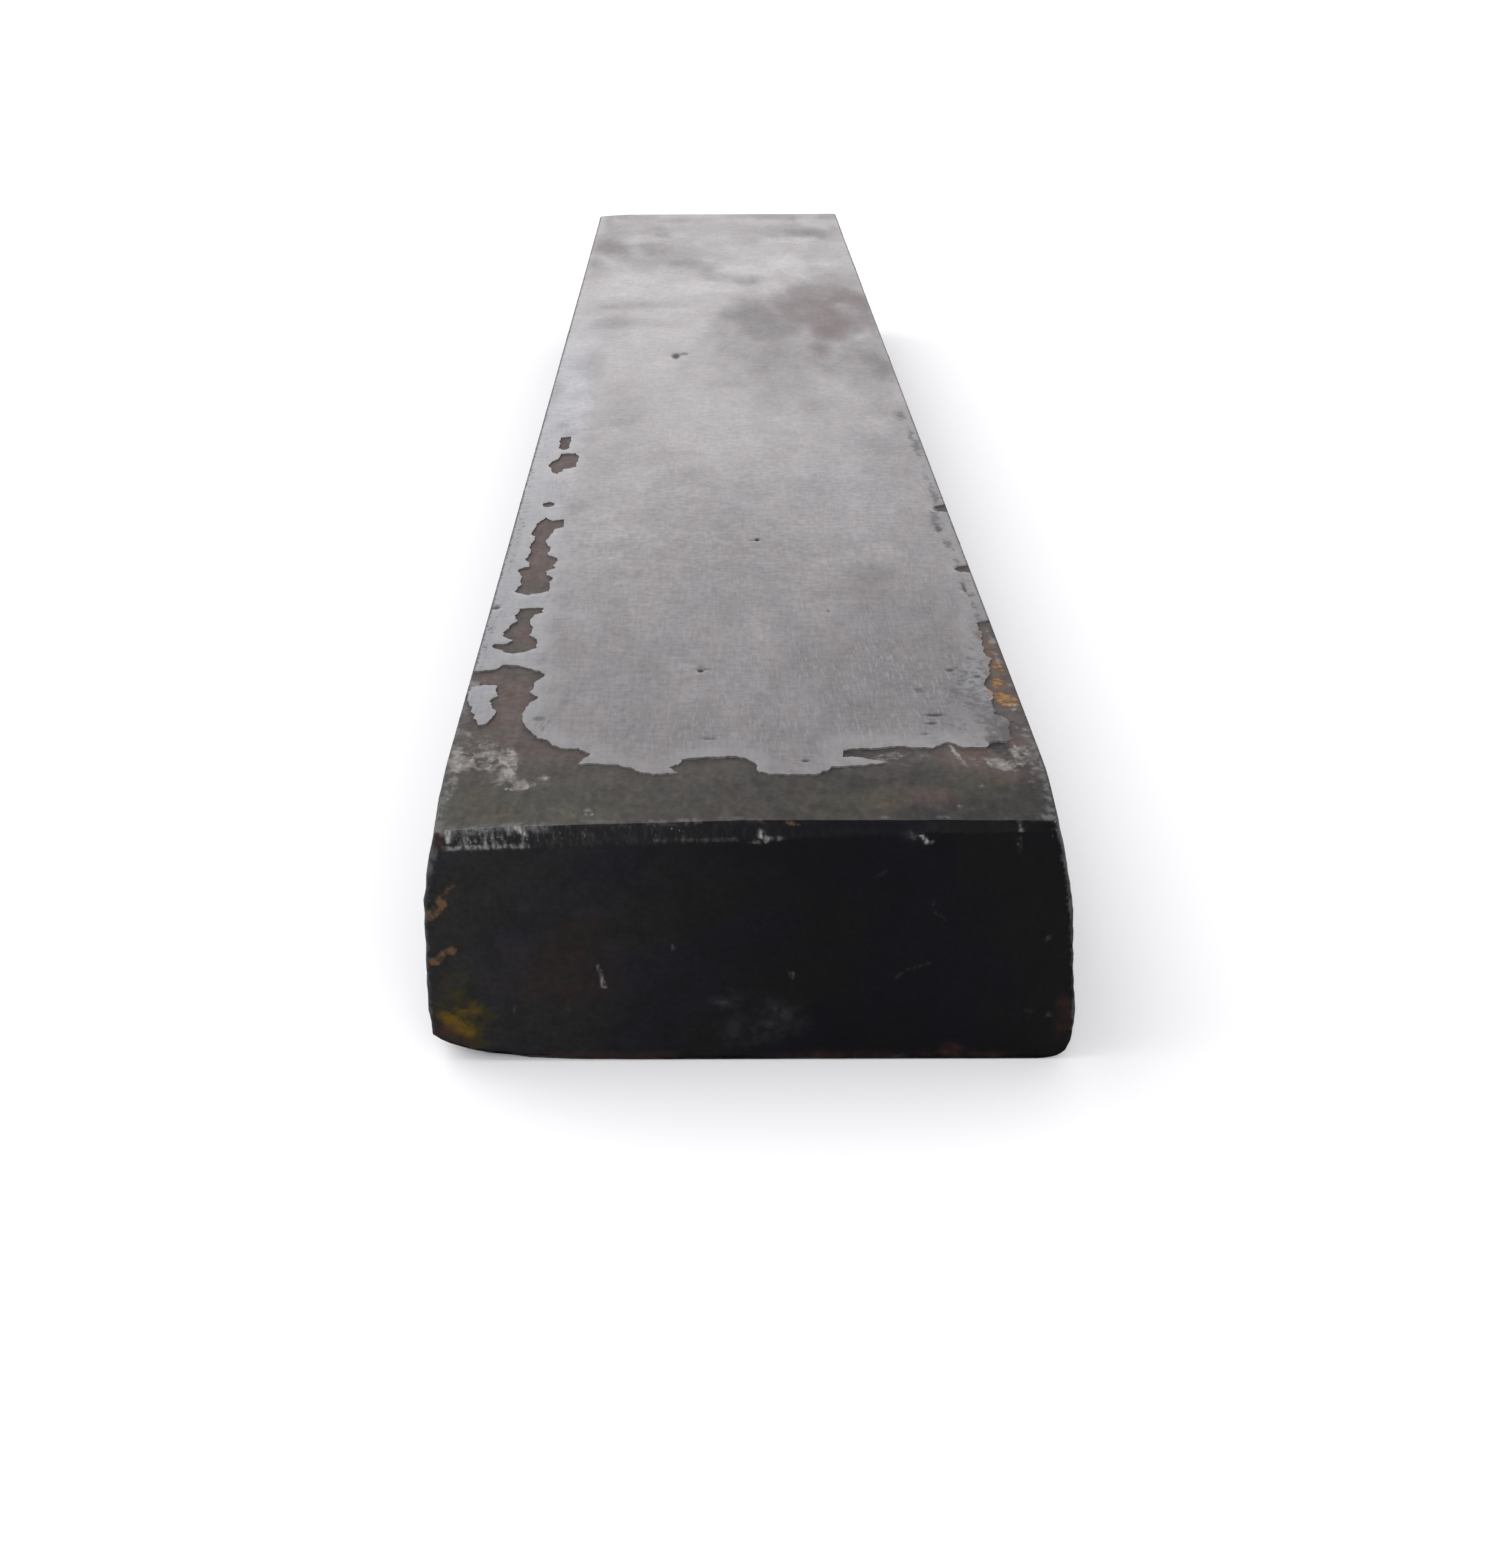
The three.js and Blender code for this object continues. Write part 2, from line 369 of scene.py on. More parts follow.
def stations():
    """Where the outline is repeated from rear to front, closer together towards the front."""
    bevel_top = FRONT_Y + BEVEL_DEPTH
    ranges = [
        (REAR_Y - REAR_ROUND, -20.0, 1.5),
        (-20.0, -95.0, 0.8),
        (-95.0, -117.0, 0.4),
        (-117.0, bevel_top, 0.27),
    ]
    return np.append(even_places(ranges), bevel_top)


def bevel_height(x, t):
    """Height of the bevel, from the arris at t = 0 to its foot at t = 1."""
    foot = BEVEL_FOOT + BEVEL_TILT * x
    return body_height(x, FRONT_Y + BEVEL_DEPTH) * (1 - t) + foot * t


def rows_of_body(outline, faces):
    """The rows of points that make the block's long skin, the rounded rear end first."""
    x, z = outline.T
    is_top = faces == "top"
    corner_x = np.where(x > 0, RIGHT_EDGE, LEFT_EDGE)
    turns = np.radians(np.linspace(90, 0, REAR_ROUND_ROWS + 1)[:-1])
    rounding = REAR_Y - REAR_ROUND * (1.0 - np.sin(turns)), REAR_ROUND * (1.0 - np.cos(turns))
    rows = []
    for y, inset in [*zip(*rounding), *((y, 0.0) for y in stations())]:
        row_x = x * (1.0 - inset / HALF_BASE)
        lifted = z * body_height(corner_x, y) / BODY_TOP + inset * (1.0 - 2.0 * z / BODY_TOP)
        row_z = np.where(is_top, body_height(row_x, y) - inset, lifted)
        rows.append(np.column_stack([row_x, np.full(len(x), y), row_z]))
    arris_y = FRONT_Y + BEVEL_DEPTH
    for t in np.arange(1, BEVEL_ROWS + 1) / BEVEL_ROWS:
        turn = t * math.pi / 2
        side_y = arris_y - BEVEL_DEPTH * math.sin(turn)
        inset = CORNER_INSET * (1.0 - math.cos(turn))
        row_x = x * (1.0 - inset / HALF_BASE)
        row_y = np.where(is_top, arris_y - BEVEL_DEPTH * t, side_y)
        lifted = z * bevel_height(corner_x, t) / BODY_TOP
        row_z = np.where(is_top, bevel_height(row_x, t), lifted)
        row_z = np.maximum(row_z, FOOT_LIFT * inset)
        rows.append(np.column_stack([row_x, row_y, row_z]))
    return rows


def end_cap(row, step, first_index, row_index):
    """Closes a row of points with a fine triangle mesh; gives its new points and its faces."""
    rim = row[:, [0, 2]]
    grid = scattered_grid(rim.min(axis=0), rim.max(axis=0), step)
    vertices, triangles, sources = fill([rim], grid, 0.45 * step)
    count = len(rim)
    index = np.empty(len(vertices), int)
    new = []
    for number, source in enumerate(sources):
        if source and source[0] < count:
            index[number] = row_index + source[0]
        else:
            index[number] = first_index + len(new)
            new.append((vertices[number][0], row[0][1], vertices[number][1]))
    return np.array(new), index[triangles].tolist()


def body_shape():
    """Points, faces and the name of the face that each point is on."""
    outline, faces = cross_section()
    rows = rows_of_body(outline, faces)
    count = len(outline)
    points = np.concatenate(rows)
    quads = []
    for row in range(len(rows) - 1):
        near, far = row * count, (row + 1) * count
        for i in range(count):
            j = (i + 1) % count
            quads.append((near + i, near + j, far + j, far + i))
    zones = np.tile(faces, len(rows))
    bevel_rows = np.repeat(np.arange(len(rows)) >= len(rows) - BEVEL_ROWS, count)
    zones = np.where(bevel_rows & (zones == "top"), "bevel", zones)
    rear, rear_faces = end_cap(rows[0], REAR_CAP_STEP, len(points), 0)
    front_start = len(points) + len(rear)
    front, front_faces = end_cap(rows[-1], CAP_STEP, front_start, len(points) - count)
    points = np.concatenate([points, rear, front])
    zones = np.concatenate([zones, ["rear"] * len(rear), ["front"] * len(front)])
    return points, quads + rear_faces + front_faces, zones


# How many chips each arris gets, and how far above it they start, as a share of their radius.
ARRIS_CHIPS = 46
FOOT_CHIPS = 60
UPRIGHT_CHIPS = 26
MARGIN_CHIPS = 120
CHIP_RISE = 0.62


def scoop(points, centre, radius):
    """Takes the bite of a sphere out of the stone."""
    away = points - centre
    distance = np.linalg.norm(away, axis=1)
    hit = distance < radius
    points[hit] = centre + away[hit] * (radius / distance[hit])[:, None]


def chip_edges(points):
    """Small bites along the arrises, at places drawn from the seeded generator."""
    arris_y = FRONT_Y + BEVEL_DEPTH
    for _ in range(ARRIS_CHIPS):
        x = RNG.uniform(-24.5, 23.5)
        radius = RNG.uniform(0.25, 0.6)
        height = float(body_height(x, arris_y))
        scoop(points, np.array([x, arris_y - 0.75 * radius, height + CHIP_RISE * radius]), radius)
    for _ in range(FOOT_CHIPS):
        x = RNG.uniform(-22.0, 25.0)
        radius = RNG.uniform(0.3, 0.7)
        scoop(points, np.array([x, FRONT_Y - 0.6 * radius, -0.7 * radius]), radius)
    for _ in range(UPRIGHT_CHIPS):
        z = RNG.uniform(3.0, 22.0)
        radius = RNG.uniform(0.3, 0.6)
        side = RNG.choice([-1.0, 1.0])
        at_x = side * np.interp(z, [WIDEST_Z, BODY_TOP], [HALF_BASE, RIGHT_EDGE + 0.6])
        scoop(points, np.array([at_x + side * 0.55 * radius, FRONT_Y - 0.55 * radius, z]), radius)
    for _ in range(MARGIN_CHIPS):
        y = RNG.uniform(FRONT_Y + 4.0, REAR_Y - 4.0)
        radius = RNG.uniform(0.3, 0.7)
        side = RNG.choice([-1.0, 1.0])
        edge = RIGHT_EDGE if side > 0 else -LEFT_EDGE
        height = float(body_height(side * edge, y)) + 0.3 + CHIP_RISE * radius
        scoop(points, np.array([side * (edge + 0.75 * radius), y, height]), radius)


def under_side(x):
    """Height of the unbroken underside, which turns up at the left foot."""
    turn = np.clip((LEFT_FOOT - HALF_BASE - x) / LEFT_FOOT, 0.0, 1.0)
    return LEFT_FOOT * (1.0 - np.sqrt(1.0 - turn)) ** 2


def break_corner(points):
    """Lifts the lower left of the front end onto its shell-like break."""
    x, y, z = points.T
    length = np.interp(x, BREAK_ACROSS, BREAK_LENGTH)
    back = np.clip((y - FRONT_Y) / length, 0.0, 1.0)
    surface = np.interp(x, BREAK_ACROSS, BREAK_HEIGHT) * (1.0 - back) ** BREAK_CURVE
    surface += BREAK_RELIEF * fbm(points, 2.6, 4, 4.0) * smooth(0.0, 0.5, surface)
    foot = under_side(x)
    lift = np.maximum(surface - foot, LEAST_LIFT)
    points[:, 2] = z + lift * np.clip(1.0 - (z - foot) / (BREAK_FADE * lift), 0.0, 1.0)


def body_relief(points, normals, zones):
    """Undulation, strata and saw marks, in mm along the normals, sunk a little off the top."""
    x, y, z = points.T
    broad = fbm(points, 9.0, 4, 1.0)
    fine = fbm(points, 1.4, 3, 2.0)
    strata = fbm(np.column_stack([x * 0.15, y * 0.04, z]), 1.6, 3, 3.0)
    saw = np.sin((y * 0.55 + 0.018 * (z + 9.0) ** 2) * 2.1 + 1.5 * broad)
    depth = np.select(
        [zones == "front", zones == "bevel", zones == "side", zones == "rear", zones == "bottom"],
        [
            0.09 * broad + 0.022 * fine,
            0.05 * broad + 0.05 * fine,
            0.10 * broad + 0.07 * strata + 0.02 * saw + 0.03 * fine,
            0.16 * broad + 0.06 * fine + 0.03 * strata,
            0.10 * broad + 0.05 * fine,
        ],
        default=0.035 * fine + 0.03 * broad,
    )
    by_top = smooth(1.0, 4.0, BODY_TOP - z)
    from_foot = smooth(0.5, 4.0, y - FRONT_Y)
    fade = np.select([zones == "side", zones == "bottom"], [by_top, from_foot], 1.0)
    depth = depth * fade
    sunk = 0.04 * by_top * np.where(zones == "bottom", from_foot, 1.0)
    return normals * (depth - np.where(zones == "top", 0.0, sunk))[:, None]


def is_bare(polygon):
    """Whether a face of the block belongs to its top."""
    y = polygon.center.y / MM
    between_ends = FRONT_Y + BEVEL_DEPTH < y < REAR_Y - REAR_ROUND
    return between_ends and polygon.normal.z > FACES_UP


def make_slate_body():
    points, faces, zones = body_shape()
    piece = mesh_object("slate_body_stone", points, faces)
    mesh = piece.data
    points = points + body_relief(points, vertex_normals(mesh), zones)
    chip_edges(points)
    break_corner(points)
    points = np.clip(points, BODY_LOW, BODY_HIGH)
    move_vertices(mesh, points)
    mark_body(mesh, points, zones)
    soften_shading(mesh, BODY_SHARP)
    mesh.materials.append(dark_slate())
    mesh.materials.append(bare_slate())
    for polygon in mesh.polygons:
        polygon.material_index = int(is_bare(polygon))
    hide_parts("slate_body")
    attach(piece, "root")
    return piece


# Marks on the end face, in mm across and up.

END_SCUFF_SPOTS = [
    (0.8, -24.4, 22.5, 0.9, 0.8), (0.6, -21, 22.5, 3.8, 1), (0.34, -15.6, 23, 3, 0.7),
    (0.24, -9, 23.2, 3.4, 0.5), (0.2, -6, 22.4, 2.4, 0.4), (0.5, 24, 23.2, 0.5, 0.8),
]
END_SCRATCHES = [
    (1, -24.4, 22.9, -24.4, 22, 0.36), (0.5, -23.2, 22.5, -23.2, 21.8, 0.28),
    (0.45, -22.4, 22.6, -22.3, 22, 0.28), (0.7, -21.6, 22.9, -21.4, 21.8, 0.3),
    (0.6, -21, 22.5, -20.7, 21.7, 0.4), (0.45, -20, 22.5, -20.1, 21.9, 0.26),
    (0.7, -19.5, 23.1, -19.4, 22.6, 0.34), (1, -18.9, 23.1, -18.2, 22.5, 0.38),
    (0.75, -18.3, 22.2, -18.4, 21.6, 0.34), (0.4, -17.2, 22.9, -17.2, 22, 0.26),
    (0.35, -16.2, 22.8, -16.1, 22.2, 0.26), (0.7, -24.6, 21.45, -18, 21.6, 0.28),
    (0.55, -25.3, 22.7, -20.8, 23, 0.24), (0.45, -20, 23.05, -15, 23.25, 0.22),
    (0.4, -9.9, 23.5, -9.8, 23, 0.26), (0.35, -8.8, 23.6, -8.7, 23.1, 0.26),
    (0.55, -7.2, 23.8, -6.4, 23.7, 0.34), (0.3, -8, 22.1, -1.2, 22.2, 0.26),
    (1, 0.4, 22.7, 1, 22.1, 0.36), (0.5, 1, 22.2, 2, 22.3, 0.28),
    (0.45, -0.5, 21.9, 0.3, 22, 0.26), (0.9, 13.2, 22.5, 13.7, 21.9, 0.3),
    (0.5, 13.6, 21.8, 14.1, 21.9, 0.26), (0.3, 12.3, 22.6, 12.7, 22.3, 0.5),
    (0.65, 21, 23.6, 21.1, 22.9, 0.28), (0.4, 21, 22.2, 21.1, 21, 0.24),
    (0.45, 23.9, 23.6, 24.2, 22.6, 0.36), (0.55, -12.9, 10.1, -12.7, 9.3, 0.24),
    (0.8, -12.7, 9.3, -12.4, 7.9, 0.26), (0.4, 3.2, 9.2, 3.3, 8.8, 0.3),
    (0.35, -6.7, 12, -6.6, 11.7, 0.3), (0.3, 24.9, 5, 25, 4.7, 0.32),
    (0.24, 24.2, 12.8, 24.2, 12.4, 0.3), (0.24, -2.9, 6.1, -2.2, 6.2, 0.36),
    (0.2, -2.1, 7.6, -1.7, 7.4, 0.34), (0.2, -2.1, 1.7, -2, 1.5, 0.34),
    (0.24, -20.1, 6, -20.1, 5.2, 0.3), (0.24, -15.7, 5.5, -15.4, 5.5, 0.32),
    (0.18, -14.8, 17.2, -14.6, 16.4, 0.34), (0.18, 9.9, 18.6, 10.5, 19.1, 0.3),
    (0.18, 12, 8.6, 12.5, 9.3, 0.28), (0.18, 12.5, 9.3, 14.6, 10.1, 0.28),
    (0.16, 14.7, 16.5, 14.4, 15.5, 0.26), (0.16, 14.4, 15.5, 15.7, 14.4, 0.26),
    (0.22, 23.2, 5.3, 23.4, 5.1, 0.32), (0.22, 12.2, 0.35, 12.9, 0.4, 0.3),
]
END_HAZE = [
    (0.9, 2.1, 4.8, 1.7, 1.6), (0.5, -2.6, 6.2, 1.8, 0.7, 10), (0.4, -0.6, 3, 2.4, 1.6),
    (0.3, -24.1, 20.8, 0.6, 0.5), (0.3, 12.4, 22.5, 0.8, 0.5),
]
END_RUST = [
    (0.85, -26.4, 15.1, -25.4, 16.3, 0.85), (0.6, -25.4, 16.3, -24.4, 17.6, 0.75),
    (0.55, -26.4, 10.5, -24.9, 11.6, 0.75), (0.4, -26, 19.8, -25.7, 18.4, 0.5),
    (0.6, 2.5, 23.5, 3.6, 23.4, 0.35),
]
END_RED = [
    (1, -26.2, 3.1, 1.1, 0.8, -15), (0.8, -24.9, 2.3, 1.3, 0.5, -15), (0.8, 17.2, 0.9, 0.9, 0.5),
    (0.6, 20.6, 0.5, 2, 0.35), (0.5, 26.3, 4.4, 0.6, 1.8), (1, -25.2, 22, 0.7, 0.9),
    (0.3, -16, 10, 4.5, 4), (0.5, -12, 0.5, 7, 0.4), (0.5, 7, 0.5, 6, 0.4),
]
END_OLIVE = [
    (0.8, -24.9, 7, 1.6, 2.6), (1, -24.2, 4, 2.4, 2.2), (0.5, -23, 2, 2, 0.7, -12),
]
END_AMBER = [
    (0.9, -24.5, 3.6, 0.9, 0.9, -20), (0.6, -25.2, 4.4, 1.2, 0.7, -30),
    (0.4, -24.2, 5.2, 1.2, 1.2),
]

# Marks on the top where the pale layer is gone, in mm across and along.

TOP_RESIDUE = [
    (1, -24.7, -115.8, 0.7, 2.2, 8), (0.7, -23.6, -116.4, 0.7, 1), (0.8, -22.2, -115.2, 1.3, 0.7),
    (0.9, -20.4, -114.9, 0.8, 0.9), (0.9, -20.3, -117.4, 0.8, 1.9, 10),
    (0.8, -18.9, -119.8, 1.3, 0.6, 15), (0.6, -17.5, -118.9, 0.9, 0.4),
    (0.5, -20.9, -119.2, 0.8, 0.5), (0.5, -22.9, -112.8, 1.8, 1.1),
    (0.5, -24.5, -110.5, 0.5, 2.4), (0.6, -24.7, -118.8, 0.5, 1.6),
    (0.6, -21.6, -116.6, 1.6, 1.6), (0.6, -25, -101.2, 0.5, 1), (0.7, 21.7, -112.3, 0.8, 1.6, 20),
    (0.6, 20.8, -117.2, 2.2, 1, -8), (0.6, 22.6, -115.2, 1.1, 1.6), (0.6, 18.7, -111.6, 1.8, 0.9),
    (0.6, 23.3, -111.4, 0.5, 1.4), (0.6, 12.6, -115.9, 1.6, 0.5), (0.5, 9.4, -116.7, 2.6, 0.5),
    (0.5, 16, -122.9, 0.9, 0.3), (0.6, -13.2, -122.9, 0.4, 0.4), (0.4, 18.6, -120.4, 0.6, 0.7),
    (0.5, 23.4, -97, 0.3, 1.4), (0.5, 23.6, -92, 0.3, 2.2), (0.5, 23.3, -107, 0.5, 0.9),
    (0.3, 22.6, -120, 0.5, 1.6),
]
TOP_SCRATCHES = [
    (1, 16.7, -114, 17.2, -116.2, 0.36), (0.8, 17.2, -116.2, 17.6, -117.6, 0.3),
    (0.9, 22.2, -114, 21.9, -116.8, 0.28), (0.9, 19.4, -116.6, 19.7, -117.7, 0.28),
    (0.8, 20.2, -117.8, 21.3, -118, 0.26), (0.7, 21.4, -111.2, 21.9, -113.2, 0.3),
    (0.4, 7.8, -116.7, 11.2, -116.9, 0.4), (0.4, 12.2, -117.2, 13, -117.8, 0.34),
    (0.5, 23.7, -102.2, 23.7, -102.8, 0.34), (0.6, 23.6, -97.4, 23.8, -97.9, 0.34),
    (0.3, -16, -122.6, -14.4, -123.4, 0.4),
]
TOP_SHADE = [
    (1, 21, -114.7, 1.2, 1.8), (0.7, 9, -115.4, 2.2, 0.7), (0.7, 22.2, -110.4, 1, 1),
    (0.6, 23.2, -116, 0.6, 1), (0.5, -24.2, -104, 0.5, 3),
]
TOP_RUST = [
    (0.6, 22.9, -93.8, 0.6, 2.6), (0.8, 23.2, -98.2, 0.6, 2), (1, 22.6, -102, 0.8, 1.5),
    (1, 22.8, -105.2, 0.9, 1.7, 15), (0.35, -20.7, -123, 1.8, 0.4),
    (0.3, -15.2, -123.6, 1.6, 0.4), (0.4, 11.2, -122.6, 1.6, 0.6), (0.4, 16.3, -122.9, 0.9, 0.6),
    (0.6, -13.7, -115.2, 0.4, 0.4), (0.3, -19.6, -112.8, 1.2, 0.9),
]
# Painted highlights where the rounded front arris of the top catches the light.
PAINTED_ARRIS_HIGHLIGHTS = [
    (0.6, -25.2, -124.3, -20.9, -124.25, 0.36), (0.65, -20.2, -124.25, -16.4, -124.3, 0.36),
    (0.4, -13.6, -124.2, -10.4, -124.25, 0.26), (0.55, -8.6, -124.2, -4.4, -124.25, 0.28),
    (0.36, -2.8, -124.2, 0.6, -124.25, 0.26), (0.6, 9.9, -124.1, 10.5, -124.1, 0.24),
    (0.65, 14.7, -124.1, 15.4, -124.1, 0.24), (0.4, 19.8, -124.1, 20.2, -124.1, 0.24),
    (0.7, 22.8, -124, 24.1, -123.8, 0.5),
]
TOP_BROWN = [
    (1, 18.4, -116, 2.4, 1.6), (1, 21.4, -113.4, 2.2, 1.4), (0.7, 20.4, -119.2, 2, 1.2),
    (0.6, 13.8, -121.6, 3.4, 1), (0.8, 23, -100, 1.2, 9), (1, -21, -106, 2.4, 6.5),
    (0.9, -23, -100.6, 2.4, 1.4), (0.9, -21, -90.6, 1.4, 3), (1, -21.4, -68, 2.2, 13),
    (0.9, -21.2, -37, 2, 6), (0.8, -21.6, -30.5, 1.6, 3.6), (0.6, -16.5, -115, 3, 1.4),
]
TOP_OLIVE = [
    (0.8, -22, -122.4, 5, 1.8), (0.5, -12, -122.6, 6, 1.4), (0.8, 8, -122.4, 4, 1.6),
    (0.8, 18, -120.6, 3, 1.4), (0.5, -22.6, -110.5, 1.4, 1.6), (0.7, -21.4, -86, 1.2, 1.6),
    (0.7, -22.2, -94, 1.8, 1.2), (0.5, -20, -100.4, 1.6, 1.6),
]

# Where broad marks begin and are full, in mm: behind the nose, along the left arris of the
# corner, and on the right arris and along it. The strips along the two arrises carry
# painted highlights.
WORN_FROM = (-121.5, -113.5)
STRIP_END = (-102.0, -96.0)
RIM = (22.9, 23.9)
RIM_END = (-114.0, -109.0)

# Each mark's name, its table and how soft its edges are.
END_SPOTS = [
    ("scuff", END_SCUFF_SPOTS, 0.5), ("haze", END_HAZE, 0.8), ("red", END_RED, 0.7),
    ("olive", END_OLIVE, 0.8), ("amber", END_AMBER, 0.8),
]
TOP_SPOTS = [
    ("residue", TOP_RESIDUE, 0.5), ("shade", TOP_SHADE, 0.6), ("rust", TOP_RUST, 0.5),
    ("brown", TOP_BROWN, 0.8), ("olive", TOP_OLIVE, 0.8),
]


def mark_body(mesh, points, zones):
    """Where the block is stained, scuffed, scratched and covered with pale residue, and where shade
    and highlights are painted on it.
    """
    x, y, z = points.T
    wobble = fbm(points, 3.0, 4, 7.0)
    is_top = (zones == "top").astype(float)
    side_by_end = np.isin(zones, ["side", "bottom"]) * (1.0 - smooth(0.1, 0.9, y - FRONT_Y))
    by_arris = y < FRONT_Y + BEVEL_DEPTH + 0.05
    front = np.maximum(np.isin(zones, ["front", "bevel"]) | by_arris, side_by_end)
    above_break = z - np.interp(x, BREAK_ACROSS, BREAK_HEIGHT)
    behind_break = smooth(*WORN_FROM, y)
    on_arris = (np.isin(zones, ["top", "bevel"]) & (z > BEVEL_FOOT + 0.2)).astype(float)
    # The arris mark: painted highlights along the front arris and strips by the left and right
    # arrises, which the materials break up into pale nicks.
    arris = strokes(x, y, PAINTED_ARRIS_HIGHLIGHTS) * on_arris
    corner_strip = is_top * (1.0 - smooth(0.15, 0.8, x - LEFT_EDGE))
    corner_strip *= 1.0 - smooth(*STRIP_END, y)
    rim = smooth(*RIM, x) * is_top * (1.0 - smooth(*RIM_END, y))

    end = {name: spots(x, z, wobble, table, edge) for name, table, edge in END_SPOTS}
    end["rust"] = strokes(x, z, END_RUST)
    end["scratch"] = strokes(x, z, END_SCRATCHES)
    top = {name: spots(x, y, wobble, table, edge) for name, table, edge in TOP_SPOTS}
    top["scratch"] = strokes(x, y, TOP_SCRATCHES)
    marks = {
        name: np.maximum(end.get(name, 0.0) * front, top.get(name, 0.0) * is_top)
        for name in {**end, **top}
    }
    marks["front"] = front
    # Painted shade: the foot of the end face, along the edge of the break, where it meets the floor.
    marks["under"] = front * (1.0 - smooth(-0.05, 0.15, above_break + 0.15 * wobble))
    marks["bevel"] = (zones == "bevel").astype(float)
    marks["worn"] = behind_break * is_top
    marks["arris"] = np.maximum(arris, np.maximum(0.8 * corner_strip, 0.9 * rim))
    # Painted highlight on the flanks by the end face, where the rounded upright corners catch the
    # light.
    marks["corner"] = side_by_end * smooth(1.5, 4.0, z)
    store(mesh, marks)


# ---- The pale layer ----

# Pits in the pale layer: place across and along, half width, half length, depth and darkness.
PITS = [
    (1.9, -66.2, 0.34, 0.5, 0.12, 1), (1.3, -66.4, 0.5, 0.25, 0.03, 0.4),
    (-4.3, -99.5, 0.46, 0.55, 0.14, 1), (-3.8, -99.3, 0.5, 0.3, 0.03, 0.4),
    (-8, 11, 0.85, 2.2, 0.08, 0.8), (-6.8, 12, 0.9, 1.2, 0.02, 0.35),
    (16.1, -108.8, 1, 0.34, 0.08, 0.75), (15.6, -110.4, 0.55, 0.25, 0.06, 0.65),
    (15.2, -103.7, 0.5, 0.25, 0.04, 0.5), (14.9, -112.4, 0.5, 0.2, 0.03, 0.45),
    (18.6, -99.7, 0.5, 0.5, 0.07, 0.7), (20.9, -101.1, 0.35, 0.4, 0.06, 0.6),
    (8.4, -85.9, 0.2, 0.35, 0.04, 0.6), (-3.6, -113.1, 0.7, 0.35, 0.05, 0.4),
    (4.4, -117, 0.45, 0.3, 0.08, 0.7), (15.3, -104.1, 0.5, 0.3, 0.05, 0.4),
    (-18.3, -109.2, 0.6, 0.5, 0.05, 0.4), (-24.8, -84, 0.6, 0.7, 0.12, 0.8),
    (22.7, -80, 0.3, 2.2, 0.08, 0.7), (22.9, -56.4, 0.7, 1.4, 0.08, 0.7),
    (22.2, -63, 0.4, 1.6, 0.05, 0.5),
]


# Corners of a CAD node nearer than this, in metres, are one, and a face whose normal points up
# by more than this share is level.
WELD_DISTANCE = 1e-6
LEVEL = 0.99


def top_loops(node):
    """The outlines of a CAD node's top face, each as an array of points in mm."""
    solid = bmesh.new()
    solid.from_mesh(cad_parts[node].data)
    bmesh.ops.remove_doubles(solid, verts=solid.verts, dist=WELD_DISTANCE)
    level = [face for face in solid.faces if face.normal.z > LEVEL]
    top_faces = set(level)
    following = {}
    for face in level:
        for loop in face.loops:
            neighbours = [other for other in loop.edge.link_faces if other is not face]
            if not any(other in top_faces for other in neighbours):
                following[loop.vert] = loop.link_loop_next.vert
    loops = []
    while following:
        vertex = next(iter(following))
        loop = []
        while vertex in following:
            loop.append((vertex.co.x / MM, vertex.co.y / MM))
            vertex = following.pop(vertex)
        loops.append(np.array(loop))
    solid.free()
    return loops


def roughen(loop):
    """Splits the sides of an outline. The broken sides sway; the long ones hardly do."""
    points = [np.array(p) for p in loop]
    straight = [math.dist(a, b) > STRAIGHT_SIDE for a, b in zip(points, points[1:] + points[:1])]
    while True:
        split, split_straight = [], []
        for a, b, is_straight in zip(points, points[1:] + points[:1], straight):
            split.append(a)
            split_straight.append(is_straight)
            side = b - a
            length = math.hypot(*side)
            longest = MARGIN_STEP if is_straight else BREAK_STEP
            if length > longest:
                sway = MARGIN_SWAY if is_straight else BREAK_SWAY
                sway *= min(1.0, LONGEST_SWAY / length)
                across = np.array([side[1], -side[0]])
                split.append((a + b) / 2 + across * RNG.normal() * sway)
                split_straight.append(is_straight)
        if len(split) == len(points):
            return np.array(points)
        points, straight = split, split_straight


# The grids inside the layer: lower left corner, upper right corner and step, finer at the front.
LAYER_GRIDS = [((-26.0, -121.0), (25.0, -60.0), 0.62), ((-26.0, -60.0), (25.0, 125.0), 1.0)]
LAYER_CLEARANCE = 0.2
PIT_RINGS = (0.15, 0.5, 0.9, 1.25)
PIT_RING_POINTS = 14

# How far the layer's edge is worn down, and how deep the plate reaches into the block.
EDGE_WEAR = 0.02
SEAT = 0.03


